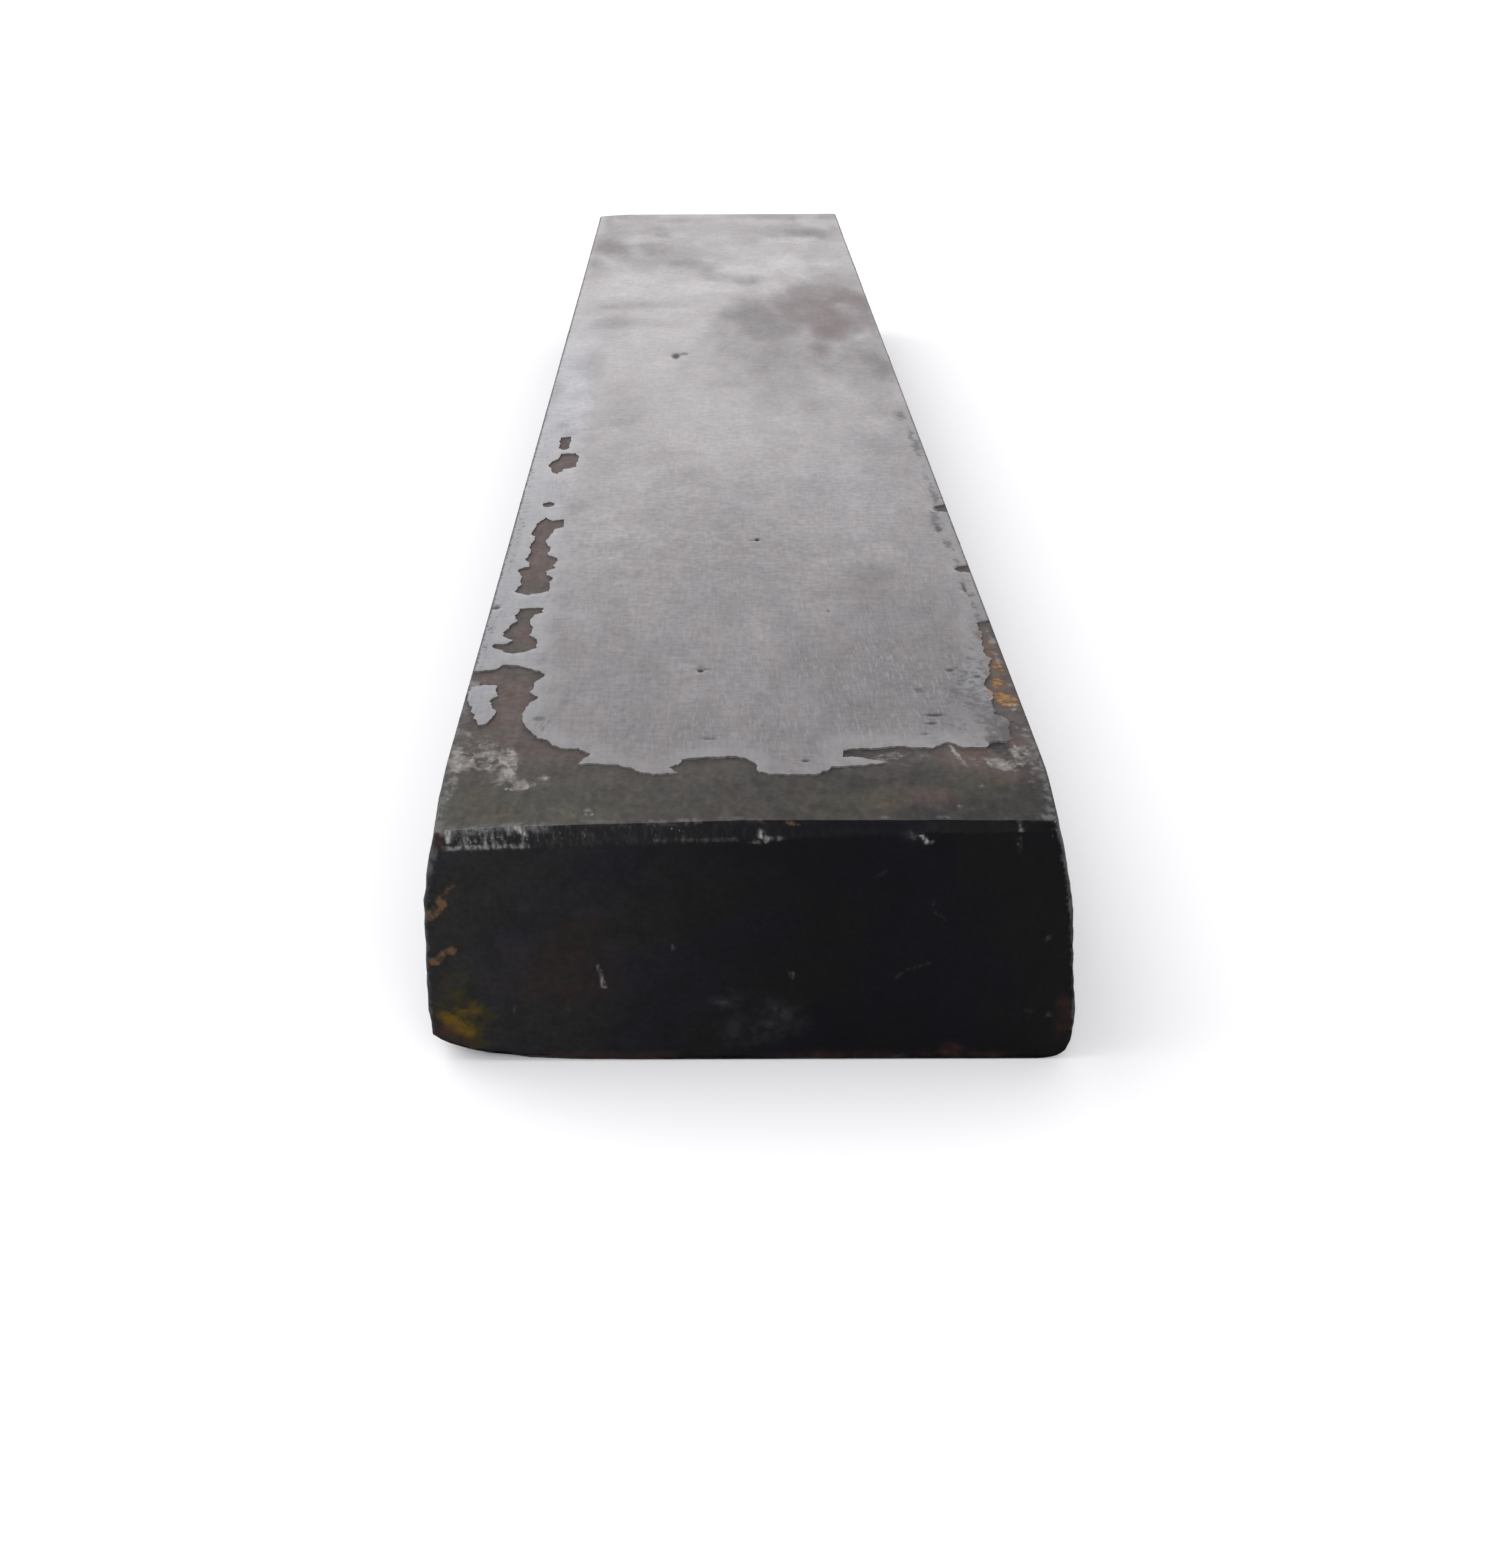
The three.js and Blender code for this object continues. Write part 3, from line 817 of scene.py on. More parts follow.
def layer_shape(loops, thickness):
    """A thin plate over the outlines that follows the worn top.

    Gives its points, its faces, the number of the first wall face and the sides of its rim.
    """
    grids = [scattered_grid(lowest, highest, step) for lowest, highest, step in LAYER_GRIDS]
    for x, y, half_width, half_length, _, _ in PITS:
        for reach in PIT_RINGS:
            turns = np.linspace(0, 2 * math.pi, PIT_RING_POINTS, endpoint=False) + reach
            ring_x = x + reach * half_width * np.cos(turns)
            ring_y = y + reach * half_length * np.sin(turns)
            grids.append(np.column_stack([ring_x, ring_y]))
    flat, triangles, _ = fill(loops, np.concatenate(grids), LAYER_CLEARANCE)
    x, y = flat.T
    sides = np.concatenate([triangles[:, [0, 1]], triangles[:, [1, 2]], triangles[:, [2, 0]]])
    keys = {(a, b) for a, b in sides.tolist()}
    rim = [(a, b) for a, b in keys if (b, a) not in keys]
    on_rim = np.zeros(len(flat), bool)
    on_rim[[a for a, _ in rim]] = True
    base = body_height(x, y)
    plan = flat_points(x, y)
    relief = 0.02 * fbm(plan, 7.0, 3, 11.0) + 0.004 * fbm(plan, 1.6, 3, 12.0)
    top = base + thickness + relief - np.where(on_rim, EDGE_WEAR, 0.0)
    for px, py, half_width, half_length, depth, _ in PITS:
        away = np.hypot((x - px) / half_width, (y - py) / half_length)
        top -= depth * (1.0 - smooth(0.4, 1.1, away))
    top = np.minimum(top, LAYER_TOP)
    count = len(flat)
    points = np.concatenate([np.column_stack([x, y, top]), np.column_stack([x, y, base - SEAT])])
    faces = triangles.tolist() + (triangles[:, ::-1] + count).tolist()
    walls = [(b, a, a + count, b + count) for a, b in rim]
    return points, faces + walls, len(faces), rim


# Marks on the pale layer, in mm across and along.

DULL = [
    (0.36, 15, 24, 12, 36), (0.3, 19, 38, 7, 12), (0.36, 5, 34, 6, 14), (0.26, 8, 4, 8, 18),
    (0.18, 0, 112, 36, 20), (0.38, -20, 98, 6, 20), (0.42, 15, 107, 6, 11),
    (0.28, -16, 112, 9, 6), (0.26, -23.5, 74, 3, 12), (0.24, 3, 96, 5, 6),
    (0.28, -10, 86, 12, 16), (0.3, 20, 62, 6, 12), (0.24, 17, 88, 9, 10), (0.3, 23, -42, 5, 52),
    (0.28, 21, -76, 7, 16), (0.52, 16, -98, 14, 20), (0.16, 6, -70, 14, 16),
    (0.22, 0, -105, 12, 14),
]
SMUDGES = [
    (1, 4.9, 33.5, 3.4, 8, 10), (0.8, 8.6, 27, 3.4, 4.6, 20), (0.55, 2.6, 42, 3.2, 2.2),
    (0.6, -13, 43.2, 5.6, 2.2), (0.7, -19.3, 42.2, 2.2, 2.2), (0.65, -19, 31.4, 2.6, 3.4),
    (0.35, -11, 31, 6, 2.6), (0.5, 5, 7, 4.2, 4), (0.4, 10.4, 5, 3, 5),
    (0.55, -6.8, 75, 5, 4.2, -40), (0.65, -0.8, 65.4, 4.4, 3.6, -30), (0.6, 5.8, 63, 2.6, 3),
    (0.45, -12.4, 88, 3, 8, 20), (0.55, -12.5, 106.8, 3, 5), (0.6, -8, 118, 6, 3, 15),
    (0.9, -23.4, 118.5, 1.2, 5), (0.8, -20.6, 91, 2.6, 6), (0.65, -24, 79, 1, 5),
    (0.5, -17.2, 120, 4, 4), (0.8, 17.5, 104, 3.2, 4.4), (0.5, 22.8, 106, 1.2, 8),
    (0.7, 12, 121, 9, 3), (0.35, 6, 108, 2.4, 8, 25), (1, 22.2, 5, 1.4, 6, 8),
    (0.8, 23, 32, 0.8, 8), (0.55, -20.4, 6, 1.4, 8), (0.7, -24.8, -7, 0.8, 6),
    (0.5, -15, -22.6, 2.8, 1.6, 20), (0.7, -22.3, -23.4, 1, 1.4), (0.8, -21.4, -27.6, 1, 1.6),
    (0.5, -19.4, -29.8, 1.4, 1.4), (0.3, 8, -74.6, 6, 1.2), (0.3, -4.5, -86, 6, 2.4),
    (0.3, 13, -86.5, 5, 2), (0.45, 19, -93, 4, 3.6), (0.3, -5.3, -94, 3, 1.6),
    (0.6, 19.4, -108.5, 2.2, 3.6), (0.4, 12, -106, 5, 3), (0.4, -17.6, -108.4, 1.4, 2),
    (0.4, -14, -109, 1, 1.6),
]
GRIME = [
    (0.8, 22.6, -12, 0.7, 4), (0.9, 22.5, -20, 0.9, 4), (0.8, 22.9, -28, 0.6, 4),
    (0.9, 23.2, -35, 0.7, 4), (0.8, 23.3, -43, 0.6, 5), (1, 23.1, -52, 0.8, 5),
    (0.8, 22.2, -60, 1, 3.6), (0.8, 22.6, -67.5, 0.8, 3), (0.8, 22.9, -75, 0.6, 4),
    (0.6, 23.4, -4, 0.5, 7), (0.7, 23.2, -84, 0.5, 5), (0.45, -24.6, -60, 0.5, 22),
    (0.45, -24.7, -90, 0.5, 6), (0.35, -23.6, -30, 0.8, 12), (0.95, 21.4, -111.4, 1.6, 3),
    (0.75, 20.4, -107.4, 1.6, 3.4), (0.6, 19, -103, 2, 4), (0.5, 21.2, -98, 1.2, 4),
    (0.4, 17.6, -110.8, 2.4, 1.8),
]
MAUVES = [
    (0.9, 16.6, 37, 6.4, 13, 5), (0.9, 19.4, 47, 4.8, 6), (1, 15, 26, 2.4, 5),
    (0.8, 13.8, 15, 1.4, 4), (0.9, 22.6, 40, 1, 9), (0.4, 17.9, 55, 2, 3), (0.5, 14, 121, 9, 3),
    (0.5, -21, 92, 3, 5), (0.3, -8.1, -35.4, 2.4, 4), (0.2, 9, -80, 6, 4),
]
RUDDY = [
    (0.8, 22.2, -108.8, 1, 1.8), (0.6, 22.4, -100, 0.7, 3.6), (1, 22.2, -112.2, 1.5, 2.2),
    (0.85, 20.6, -113.6, 1.5, 1.2), (0.6, 20.6, -109.6, 1.2, 2), (0.6, 22.6, -91, 0.6, 4),
    (0.35, -19, -110.4, 1.6, 1.4),
]
SCOURED = [
    (1, 14, -100, 9, 14), (0.8, -2, -110, 14, 8), (0.5, 0, -94, 14, 14), (0.6, 18, -80, 5, 14),
    (0.8, -23.4, -76, 1.8, 40), (0.5, -16.6, -96, 3, 14),
]
COOL = [
    (0.3, 12, -48, 6, 9), (0.3, 13, -88, 5, 5), (0.4, 9.5, -105, 6, 3), (0.2, -3, -104, 9, 4),
]
BRIGHT = [
    (1, -8, 54, 9, 4), (0.6, 3, 84, 5, 6), (0.9, 10, 80, 3.4, 12, 10), (0.5, 20, 78, 2.4, 8),
    (0.6, -14, 14, 5, 10), (0.4, -18, 62, 4, 5), (0.6, 17, -6, 5, 7), (0.35, 2.9, -79.2, 5, 1.6),
    (0.3, 16.2, -79.3, 3, 1.6), (0.5, -11, -52, 7, 26), (0.6, -2, -28, 9, 12),
]
BRIGHT_ARCS = [
    (0.7, 12, 14.5, 12.1, 32.6, 1.3), (0.9, 14.7, 6.9, 17, 17.5, 1.4),
    (0.9, 17, 17.5, 21.1, 22.3, 1.4), (1, -5.6, -99.2, -5, -98.5, 0.45),
    (1, -3.6, -100.3, -2.9, -99.8, 0.45),
]
EDGE_RUST = [
    (0.9, 21.9, -104.4, 0.5, 2.2), (0.6, 22.4, -98.8, 0.5, 2), (0.3, 22.6, -93, 0.4, 3),
]

# Each mark's name, its table and how soft its edges are.
LAYER_SPOTS = [
    ("dull", DULL, 0.6), ("smudge", SMUDGES, 0.9), ("grime", GRIME, 0.6), ("mauve", MAUVES, 0.8),
    ("ruddy", RUDDY, 0.7), ("scoured", SCOURED, 0.8), ("cool", COOL, 0.8), ("light", BRIGHT, 0.8),
    ("rust", EDGE_RUST, 0.7),
]


def mark_layer(mesh, points, rim):
    """Where the pale layer is smudged, stained, bleached along its breaks and pitted."""
    x, y, _ = points.T
    wobble = fbm(flat_points(x, 0.45 * y), 5.0, 4, 21.0)
    tree = kdtree.KDTree(len(rim))
    for index, (a, _) in enumerate(rim):
        tree.insert((points[a][0], points[a][1], 0.0), index)
    tree.balance()
    from_break = np.array([tree.find((px, py, 0.0))[2] for px, py in zip(x, y)])
    from_margin = np.minimum(x - LEFT_EDGE, RIGHT_EDGE - x)
    broken = smooth(0.2, 1.6, from_margin) * (1.0 - smooth(-30.0, -10.0, y))
    margin = (1.0 - smooth(-20.6, -18.6, x + 0.5 * wobble)) * (1.0 - smooth(5.0, 45.0, y))
    pit = np.zeros(len(x))
    for px, py, half_width, half_length, _, darkness in PITS:
        away = np.hypot((x - px) / half_width, (y - py) / half_length) + 0.25 * wobble
        pit = np.maximum(pit, darkness * (1.0 - smooth(0.45, 1.15, away)))

    marks = {name: spots(x, y, wobble, table, edge) for name, table, edge in LAYER_SPOTS}
    marks["cool"] = np.maximum(margin, marks["cool"])
    marks["light"] = np.maximum(marks["light"], strokes(x, y, BRIGHT_ARCS))
    bleach = broken * (1.0 - smooth(0.2, 2.6, from_break + 0.9 * wobble)) * (1.0 - marks["ruddy"])
    marks["bleach"] = np.clip(bleach, 0.0, 1.0)
    marks["pit"] = pit
    store(mesh, marks)


def make_layer(node, name):
    loops = [roughen(loop) for loop in top_loops(node)]
    points, faces, first_wall, rim = layer_shape(loops, LAYER_TOP - BODY_TOP)
    piece = mesh_object(name, points, faces)
    mesh = piece.data
    mark_layer(mesh, points, rim)
    mesh.materials.append(pale_stone())
    mesh.materials.append(broken_edge())
    for polygon in mesh.polygons[first_wall:]:
        polygon.material_index = 1
    soften_shading(mesh, LAYER_SHARP)
    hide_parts(node)
    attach(piece, "root")
    return piece


# ---- Materials ----

MID_GREY = (0.5, 0.5, 0.5)
NOISE_ROUGHNESS = 0.55


class Nodes:
    """Builds a material's node tree: each call adds one node and gives its output."""

    def __init__(self, name):
        self.material = bpy.data.materials.new(name)
        self.material.use_nodes = True
        self.tree = self.material.node_tree
        self.shader = self.tree.nodes["Principled BSDF"]
        place = self.node("TexCoord", {}).outputs["Object"]
        self.place = self.stretched(place, (1 / MM, 1 / MM, 1 / MM))

    def node(self, kind, inputs, **settings):
        """Adds a node, sets it up, and gives its inputs numbers or other nodes' outputs."""
        node = self.tree.nodes.new("ShaderNode" + kind)
        for name, value in settings.items():
            setattr(node, name, value)
        for socket, value in inputs.items():
            self.link(value, node.inputs[socket])
        return node

    def link(self, value, socket):
        if isinstance(value, bpy.types.NodeSocket):
            self.tree.links.new(value, socket)
        else:
            socket.default_value = value

    def stretched(self, vector, scale):
        return self.node("VectorMath", {0: vector, 1: scale}, operation="MULTIPLY").outputs[0]

    def noise(self, size, detail=4.0, stretch=(1, 1, 1), distortion=0.0):
        """Noise of about 0 to 1; size is in mm, and stretch makes it longer along an axis."""
        scale = tuple(1.0 / (size * s) for s in stretch)
        node = self.node("TexNoise", {
            "Vector": self.stretched(self.place, scale),
            "Scale": 1.0,
            "Detail": detail,
            "Roughness": NOISE_ROUGHNESS,
            "Distortion": distortion,
        })
        return node.outputs["Fac"]

    def axis(self, name):
        """The place along one axis of the stone, in mm."""
        return self.node("SeparateXYZ", {0: self.place}).outputs[name]

    def mark(self, name):
        return self.node("Attribute", {}, attribute_name=name).outputs["Fac"]

    def math(self, operation, a, b):
        return self.node("Math", {0: a, 1: b}, operation=operation).outputs[0]

    def times(self, a, b):
        return self.math("MULTIPLY", a, b)

    def span(self, value, low, high, to_low=0.0, to_high=1.0):
        """Carries low..high over to to_low..to_high, smoothly and clamped."""
        node = self.node("MapRange", {
            "Value": value,
            "From Min": low,
            "From Max": high,
            "To Min": to_low,
            "To Max": to_high,
        }, interpolation_type="SMOOTHSTEP")
        return node.outputs["Result"]

    def mix(self, factor, a, b):
        a, b = ((*value, 1.0) if isinstance(value, tuple) else value for value in (a, b))
        node = self.node("Mix", {"Factor": factor, "A": a, "B": b}, data_type="RGBA")
        return node.outputs["Result"]

    def rubbed(self, across, grain):
        """The two long arrises, where handling has worn the surface down to dark slate."""
        ragged = self.span(grain, 0.3, 0.7, -0.12, 0.12)
        place = self.math("ADD", across, ragged)
        left = self.span(place, LEFT_EDGE + 0.05, LEFT_EDGE + 0.40, 1.0, 0.0)
        right = self.span(place, RIGHT_EDGE - 0.40, RIGHT_EDGE - 0.05)
        return self.math("MAXIMUM", left, right)

    def mottled(self, mask, grain, cover=0.3, width=0.10):
        """Breaks a soft mask up: the stronger the mask, the more of the grain it lets through."""
        total = self.math("ADD", grain, self.times(mask, cover))
        broken = self.span(total, 0.75 - width / 2, 0.75 + width / 2)
        return self.times(broken, self.span(mask, 0.0, 0.3))

    def coat(self, colour, mask, tint, strength):
        """Lays a tint over a colour where the mask is, at a strength of 0 to 1."""
        return self.mix(self.times(mask, strength), colour, tint)

    def scratched(self, colour, grain):
        """Thin white scratches, broken up by the grain."""
        mark = self.math("POWER", self.mark("scratch"), 2.0)
        broken = self.times(mark, self.span(grain, 0.40, 0.62, 0.15, 1.0))
        return self.mix(broken, colour, (0.235, 0.230, 0.222))

    def rusted(self, colour, grain):
        rust = self.mottled(self.mark("rust"), grain, 0.40, 0.22)
        return self.coat(colour, rust, (0.085, 0.048, 0.024), 0.75)

    def nicks_and_highlights(self, colour, grain):
        """Pale nicks and painted highlights along the arrises, where their rounding catches the
        light.
        """
        broken = self.times(self.mark("arris"), self.span(grain, 0.38, 0.62, 0.1, 1.0))
        return self.mix(self.times(broken, 0.8), colour, (0.122, 0.122, 0.127))

    def shade(self, colour, low, high, value):
        """Multiplies a colour by low to high, as a noise goes from its low to its high."""
        factor = self.span(value, 0.3, 0.7, low, high)
        return self.node("VectorMath", {0: colour, "Scale": factor}, operation="SCALE").outputs[0]

    def bump(self, height, depth, under=None):
        """Bump of depth mm; under is a bump that lies beneath it."""
        inputs = {"Strength": 1.0, "Distance": depth * MM, "Height": height}
        if under is not None:
            inputs["Normal"] = under
        return self.node("Bump", inputs).outputs["Normal"]

    def finish(self, colour, roughness, normal, specular):
        self.link(colour, self.shader.inputs["Base Color"])
        self.link(roughness, self.shader.inputs["Roughness"])
        self.link(normal, self.shader.inputs["Normal"])
        self.link(specular, self.shader.inputs["Specular IOR Level"])
        return self.material


def pale_stone():
    """Honed, slightly polished pale grey stone."""
    m = Nodes("pale_stone")
    clouds = m.noise(12.0, 5, (1.0, 2.4, 1.0), 0.4)
    tint = m.noise(3.0, 5, (1.0, 2.0, 1.0), 0.4)
    patches = m.noise(3.4, 5, (1.0, 2.4, 1.0), 0.3)
    blotches = m.noise(1.5, 5, (1.0, 2.0, 1.0), 0.5)
    grain = m.noise(0.7, 4)
    speckle = m.noise(0.28, 2)
    strokes = m.noise(0.35, 3, (1.0, 9.0, 1.0))
    scratches = m.noise(0.24, 3, (1.0, 8.0, 1.0))
    crosswise = m.noise(0.4, 3, (5.0, 1.0, 1.0))
    across = m.axis("X")

    # The grain is calmer away from the front end, where the stone is worn smoother.
    calm = m.span(m.axis("Y"), -95.0, 10.0, 0.0, 0.45)
    grain = m.mix(calm, grain, MID_GREY)
    strokes = m.mix(calm, strokes, MID_GREY)
    crosswise = m.mix(calm, crosswise, MID_GREY)

    colour = m.mix(m.span(tint, 0.38, 0.62), (0.122, 0.109, 0.114), (0.110, 0.107, 0.114))
    colour = m.mix(m.mark("cool"), colour, (0.150, 0.151, 0.172))
    colour = m.coat(colour, m.mark("light"), (0.165, 0.156, 0.156), 0.8)
    colour = m.shade(colour, 0.94, 1.06, clouds)
    colour = m.shade(colour, 0.88, 1.12, patches)
    colour = m.shade(colour, 0.88, 1.12, strokes)
    colour = m.shade(colour, 0.88, 1.12, crosswise)
    colour = m.shade(colour, 0.82, 1.18, grain)
    colour = m.coat(colour, m.mark("dull"), (0.085, 0.076, 0.077), 0.5)
    lines = m.times(m.mark("scoured"), m.span(scratches, 0.50, 0.66, 0.0, 0.65))
    colour = m.mix(lines, colour, (0.180, 0.180, 0.194))
    flecks = m.times(m.mark("scoured"), m.span(grain, 0.52, 0.66, 0.0, 0.6))
    colour = m.mix(flecks, colour, (0.058, 0.052, 0.052))
    smudge = m.times(m.mark("smudge"), m.span(blotches, 0.3, 0.7, 0.7, 1.0))
    colour = m.coat(colour, smudge, (0.048, 0.043, 0.043), 0.45)
    mauve = m.times(m.mark("mauve"), m.span(blotches, 0.3, 0.7, 0.75, 1.0))
    colour = m.coat(colour, mauve, (0.085, 0.050, 0.052), 0.75)
    bleach = m.times(m.mark("bleach"), m.span(blotches, 0.35, 0.6, 0.5, 1.0))
    colour = m.coat(colour, bleach, (0.180, 0.176, 0.182), 0.7)
    ruddy = m.mottled(m.mark("ruddy"), blotches, 0.36, 0.20)
    colour = m.coat(colour, ruddy, (0.070, 0.050, 0.043), 0.85)
    grime = m.mottled(m.mark("grime"), grain, 0.40, 0.24)
    colour = m.coat(colour, grime, (0.040, 0.041, 0.046), 0.8)
    dots = m.span(speckle, 0.68, 0.78)
    colour = m.coat(colour, dots, (0.045, 0.042, 0.041), 0.3)
    colour = m.mix(m.mottled(m.mark("rust"), grain, 0.30, 0.16), colour, (0.16, 0.068, 0.016))
    colour = m.mix(m.mark("pit"), colour, (0.008, 0.008, 0.008))
    worn_off = m.rubbed(across, grain)
    colour = m.coat(colour, worn_off, (0.022, 0.021, 0.022), 0.85)

    # Stains, pits and worn edges take the polish off.
    stained = m.math("MAXIMUM", m.times(smudge, 0.35), m.times(mauve, 0.45))
    dulled = m.math("ADD", m.times(m.mark("dull"), 0.9), stained)
    dulled = m.math("MAXIMUM", dulled, m.math("MAXIMUM", m.times(grime, 0.7), worn_off))
    dulled = m.math("MAXIMUM", dulled, m.math("MAXIMUM", m.mark("pit"), ruddy))
    roughness = m.math("ADD", m.span(clouds, 0.35, 0.65, 0.32, 0.29), m.times(dulled, 0.34))
    roughness = m.math("ADD", roughness, m.span(grain, 0.3, 0.7, 0.03, -0.02))
    roughness = m.math("ADD", roughness, m.times(m.mark("pit"), 0.25))
    normal = m.bump(clouds, 0.02)
    normal = m.bump(strokes, 0.003, normal)
    normal = m.bump(grain, 0.006, normal)
    return m.finish(colour, roughness, normal, 0.5)


def broken_edge():
    """The rough wall where the pale layer broke off."""
    m = Nodes("broken_edge")
    grain = m.noise(0.3, 3)
    colour = m.mix(m.span(grain, 0.35, 0.65), (0.085, 0.079, 0.076), (0.135, 0.128, 0.126))
    return m.finish(colour, m.span(grain, 0.3, 0.7, 0.7, 0.9), m.bump(grain, 0.02), 0.2)


def slate_texture(m):
    """The noises that both kinds of slate share, and the bumps they make."""
    patches = m.noise(3.2, 4, distortion=0.3)
    blotches = m.noise(1.2, 5, distortion=0.5)
    grain = m.noise(0.55, 4)
    fleck = m.noise(0.32, 3)
    normal = m.bump(fleck, 0.012, m.bump(grain, 0.03, m.bump(patches, 0.04)))
    return patches, blotches, grain, fleck, normal


def dark_slate():
    """Near-black slate of the ends, the sides and the underside."""
    m = Nodes("dark_slate")
    clouds = m.noise(9.0, 5, distortion=0.5)
    patches, blotches, grain, fleck, normal = slate_texture(m)
    strata = m.noise(1.1, 4, (9.0, 30.0, 1.0))
    sawn = m.noise(0.35, 2, (1.0, 45.0, 1.0))
    comb = m.noise(0.36, 3, (1.0, 1.0, 3.0))
    across = m.axis("X")

    # The end face: greyer on its left, bluer and darker on its right.
    to_right = m.span(across, -30.0, 8.0)
    neutral = m.mix(to_right, (0.0102, 0.0100, 0.0102), (0.0019, 0.0019, 0.0021))
    bluish = m.mix(to_right, (0.0094, 0.0096, 0.0120), (0.0016, 0.0016, 0.0031))
    end = m.mix(m.span(clouds, 0.42, 0.58), neutral, bluish)
    end = m.shade(end, 0.80, 1.22, patches)
    end = m.shade(end, 0.84, 1.18, grain)
    hazy = m.times(m.mark("haze"), m.span(blotches, 0.35, 0.65, 0.1, 0.8))
    end = m.mix(hazy, end, (0.024, 0.024, 0.026))
    crushed = m.mix(m.span(comb, 0.45, 0.65), (0.008, 0.008, 0.009), (0.022, 0.022, 0.023))
    on_bevel = m.times(m.mark("bevel"), m.span(across, -24.0, 14.0, 0.55, 0.05))
    end = m.mix(on_bevel, end, crushed)
    # Painted shade along the foot of the end face, over the under mark.
    end = m.coat(end, m.mark("under"), (0.0008, 0.0008, 0.0008), 0.85)

    flank = m.mix(m.span(clouds, 0.35, 0.65), (0.013, 0.0135, 0.0155), (0.023, 0.0225, 0.0235))
    flank = m.shade(flank, 0.80, 1.22, strata)
    flank = m.shade(flank, 0.80, 1.25, grain)
    slurry = m.times(m.span(patches, 0.50, 0.72), m.span(grain, 0.35, 0.65, 0.3, 1.0))
    flank = m.coat(flank, slurry, (0.050, 0.049, 0.049), 0.55)
    flank = m.mix(m.span(sawn, 0.64, 0.72, 0.0, 0.5), flank, (0.062, 0.062, 0.063))
    colour = m.mix(m.mark("front"), flank, end)

    colour = m.mix(m.mottled(m.mark("olive"), blotches, 0.38, 0.46), colour, (0.021, 0.018, 0.004))
    amber = m.mottled(m.mark("amber"), blotches, 0.40, 0.60)
    colour = m.coat(colour, amber, (0.095, 0.052, 0.003), 0.8)
    reddened = m.times(m.mark("red"), m.span(blotches, 0.35, 0.65, 0.25, 0.85))
    colour = m.mix(reddened, colour, (0.030, 0.012, 0.009))
    colour = m.rusted(colour, blotches)
    scuffed = m.mottled(m.mark("scuff"), comb, 0.27, 0.14)
    colour = m.coat(colour, scuffed, (0.052, 0.051, 0.050), 0.8)
    crushed_white = m.mottled(m.mark("scuff"), fleck, 0.17, 0.12)
    colour = m.coat(colour, crushed_white, (0.15, 0.146, 0.140), 0.7)
    colour = m.scratched(colour, comb)
    # Pale nicks and painted highlights along the arrises.
    colour = m.nicks_and_highlights(colour, grain)
    # Painted highlight on the upright corners of the end face.
    painted_corner_highlight = m.times(m.mark("corner"), m.span(blotches, 0.38, 0.62, 0.25, 1.0))
    colour = m.coat(colour, painted_corner_highlight, (0.052, 0.052, 0.055), 0.8)

    return m.finish(colour, m.span(patches, 0.3, 0.7, 0.42, 0.58), normal, 0.06)


def bare_slate():
    """The top where the pale layer has come off: grey by the nose, brown and olive by the break."""
    m = Nodes("bare_slate")
    patches, blotches, grain, fleck, normal = slate_texture(m)
    upright = m.noise(0.6, 4, (1.0, 4.0, 1.0))

    nose = m.mix(m.span(m.axis("X"), -20.0, 16.0), (0.046, 0.044, 0.040), (0.0240, 0.0228, 0.0222))
    nose = m.mix(m.span(patches, 0.48, 0.62, 0.0, 0.6), nose, (0.050, 0.041, 0.039))
    worn = m.mix(m.span(patches, 0.35, 0.65), (0.044, 0.036, 0.033), (0.056, 0.049, 0.047))
    colour = m.mix(m.mark("worn"), nose, worn)
    russet = m.mix(m.span(blotches, 0.4, 0.6), (0.078, 0.050, 0.044), (0.066, 0.050, 0.047))
    colour = m.mix(m.times(m.mark("brown"), 0.85), colour, russet)
    colour = m.coat(colour, m.mark("olive"), (0.045, 0.043, 0.030), 0.6)
    colour = m.shade(colour, 0.90, 1.12, upright)
    colour = m.shade(colour, 0.84, 1.18, blotches)
    colour = m.shade(colour, 0.88, 1.12, grain)

    colour = m.mix(m.mottled(m.mark("shade"), blotches, 0.36), colour, (0.020, 0.019, 0.021))
    colour = m.rusted(colour, blotches)
    orange = m.mottled(m.math("POWER", m.mark("rust"), 2.0), grain, 0.27, 0.20)
    colour = m.coat(colour, orange, (0.24, 0.115, 0.025), 0.85)
    dusty = m.mottled(m.mark("residue"), blotches, 0.38, 0.3)
    colour = m.coat(colour, dusty, (0.165, 0.150, 0.143), 0.75)
    caked = m.mottled(m.mark("residue"), grain, 0.25, 0.16)
    colour = m.coat(colour, caked, (0.250, 0.236, 0.230), 0.65)
    colour = m.scratched(colour, fleck)
    # Pale nicks and painted highlights along the arrises.
    colour = m.nicks_and_highlights(colour, grain)

    return m.finish(colour, m.span(patches, 0.3, 0.7, 0.56, 0.72), normal, 0.20)


# ---- Stage, lights and camera ----

FLOOR_REACH = 4.0


def floor_white():
    m = Nodes("floor_white")
    mottle = m.noise(40.0, 2)
    colour = m.mix(mottle, (0.795, 0.792, 0.810), (0.810, 0.806, 0.824))
    return m.finish(colour, m.span(mottle, 0.3, 0.7, 0.7, 0.8), m.bump(mottle, 0.01), 0.2)


def make_floor():
    corners = [(-1, -1), (1, -1), (1, 1), (-1, 1)]
    mesh = bpy.data.meshes.new("floor")
    mesh.from_pydata([(FLOOR_REACH * x, FLOOR_REACH * y, 0) for x, y in corners], [], [(0, 1, 2, 3)])
    mesh.materials.append(floor_white())
    floor = add_object("floor", mesh)


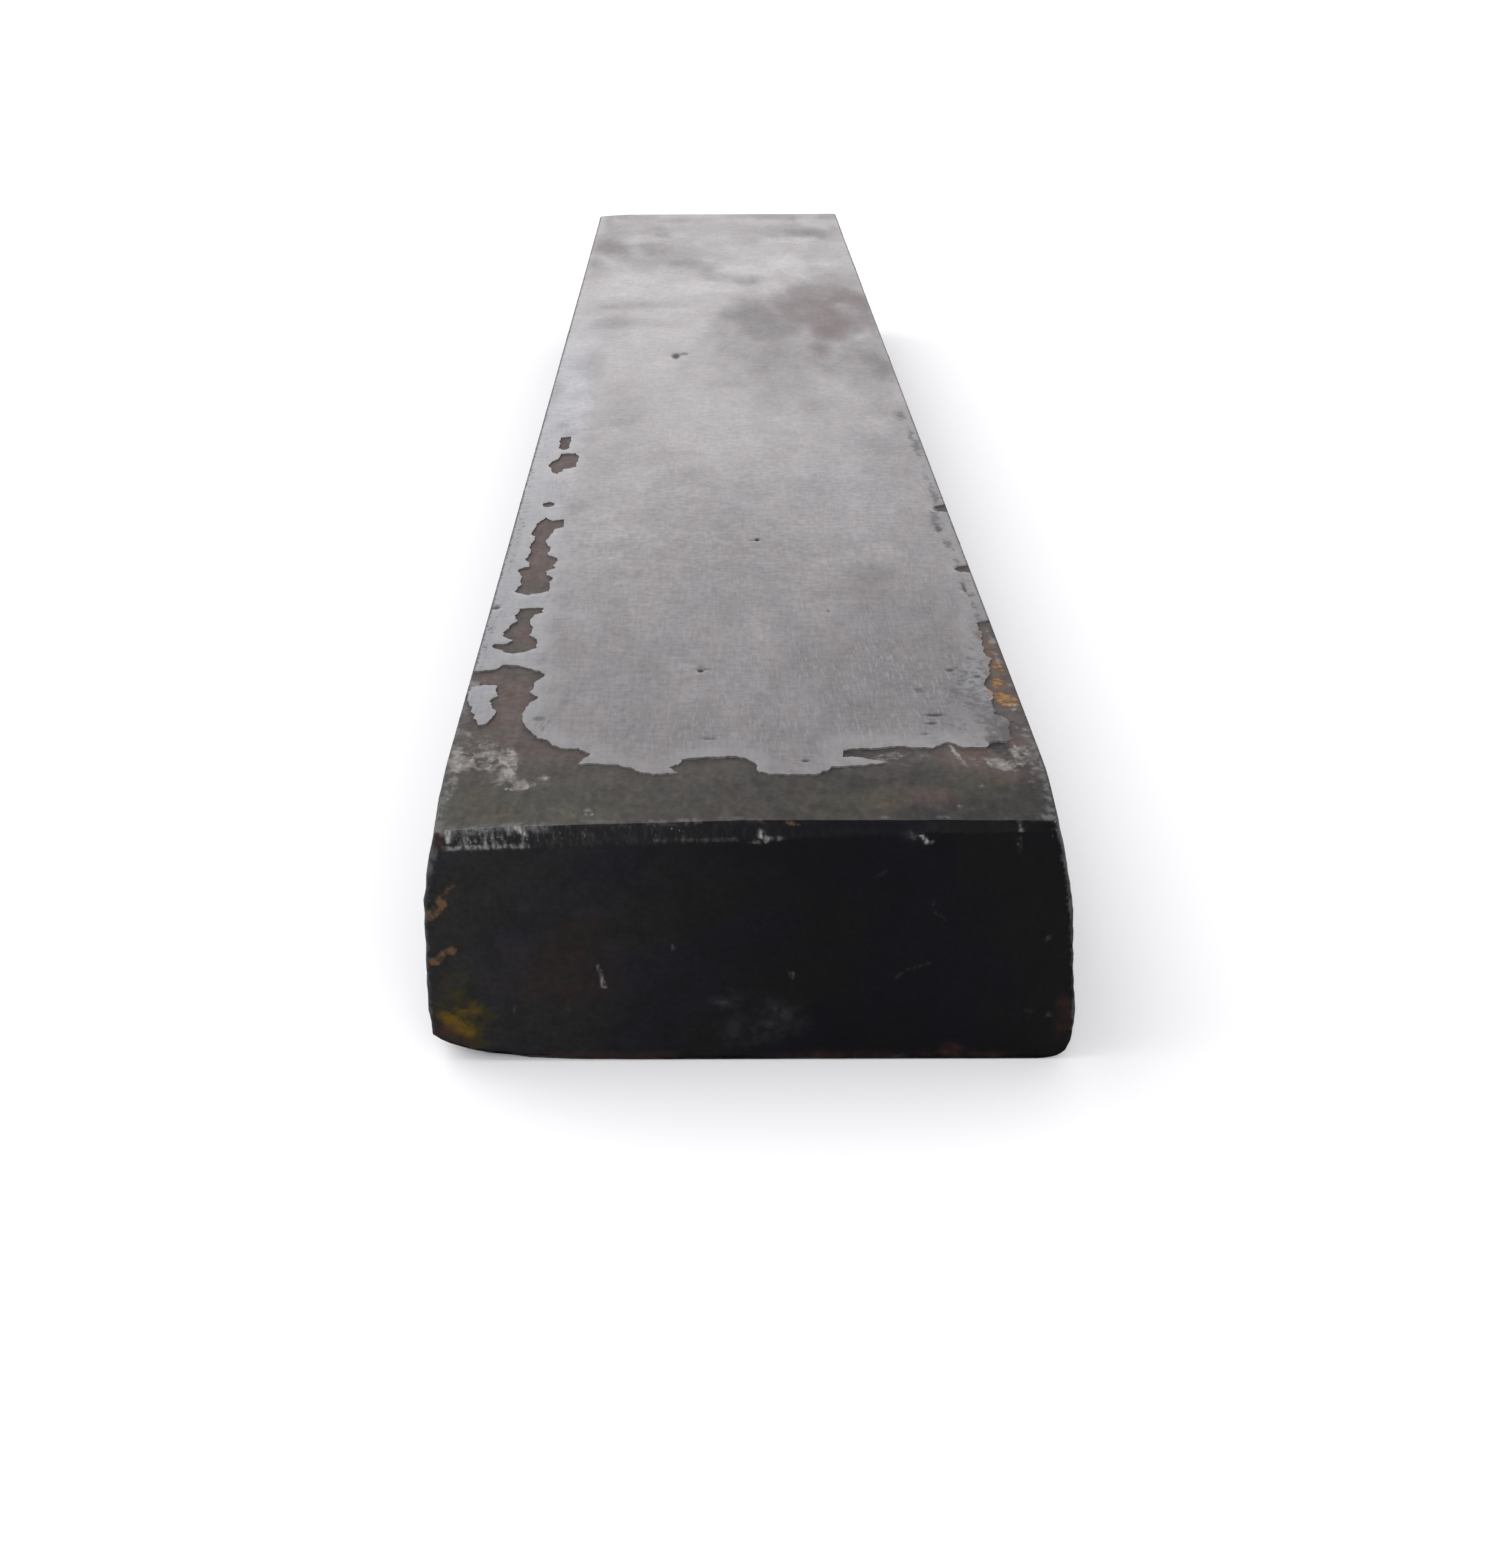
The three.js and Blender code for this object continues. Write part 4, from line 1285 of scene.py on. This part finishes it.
def make_light(name, place, target, size, watts, colour):
    light = bpy.data.lights.new(name, "AREA")
    light.shape = "RECTANGLE"
    light.size, light.size_y = size
    light.energy = watts
    light.color = colour
    lamp = add_object(name, light)
    lamp.location = place
    lamp.rotation_euler = (Vector(target) - Vector(place)).to_track_quat("-Z", "Y").to_euler()
    lamp.visible_camera = False


# Area lights: name, place and target in metres, width and height, watts and colour.
LIGHTS = [
    ("key", (-1.1, 0.15, 1.5), (0.0, 0.0, 0.0), (1.4, 1.4), 18.0, (1.0, 1.0, 1.0)),
    ("back", (0.0, 1.7, 0.38), (0.0, 0.0, 0.38), (2.4, 0.7), 6.4, (1.0, 0.95, 0.96)),
    ("fill", (0.1, -1.3, 0.9), (0.0, -0.1, 0.0), (1.2, 0.8), 11.5, (1.0, 1.0, 1.0)),
]
WORLD_STRENGTH = 0.86


def make_studio():
    world = bpy.data.worlds.new("studio")
    bpy.context.scene.world = world
    world.use_nodes = True
    background = world.node_tree.nodes["Background"]
    background.inputs["Color"].default_value = (1.0, 1.0, 1.0, 1.0)
    background.inputs["Strength"].default_value = WORLD_STRENGTH
    for light in LIGHTS:
        make_light(*light)


# The camera's place, its pitch and roll in degrees, and its lens on a 36 mm sensor.
CAMERA_PLACE = (-3.95 * MM, -236.2 * MM, 89.9 * MM)
CAMERA_DOWN = 29.21
CAMERA_ROLL = 0.25
CAMERA_LENS = 37.9
CAMERA_SENSOR = 36.0
CAMERA_SHIFT = 0.0323
CAMERA_NEAR = 0.01


def make_camera():
    data = bpy.data.cameras.new("camera")
    camera = add_object("camera", data)
    data.sensor_width = CAMERA_SENSOR
    data.lens = CAMERA_LENS
    data.shift_x = CAMERA_SHIFT
    data.clip_start = CAMERA_NEAR
    camera.location = CAMERA_PLACE
    camera.rotation_euler = (math.radians(90 - CAMERA_DOWN), 0.0, 0.0)
    camera.rotation_euler.rotate_axis("Z", math.radians(-CAMERA_ROLL))
    bpy.context.scene.camera = camera


bpy.context.scene.view_settings.view_transform = "Standard"
make_camera()
make_studio()
make_floor()
make_slate_body()
make_layer("honing_layer", "honing_layer_stone")
make_layer("edge_remnant", "edge_remnant_stone")
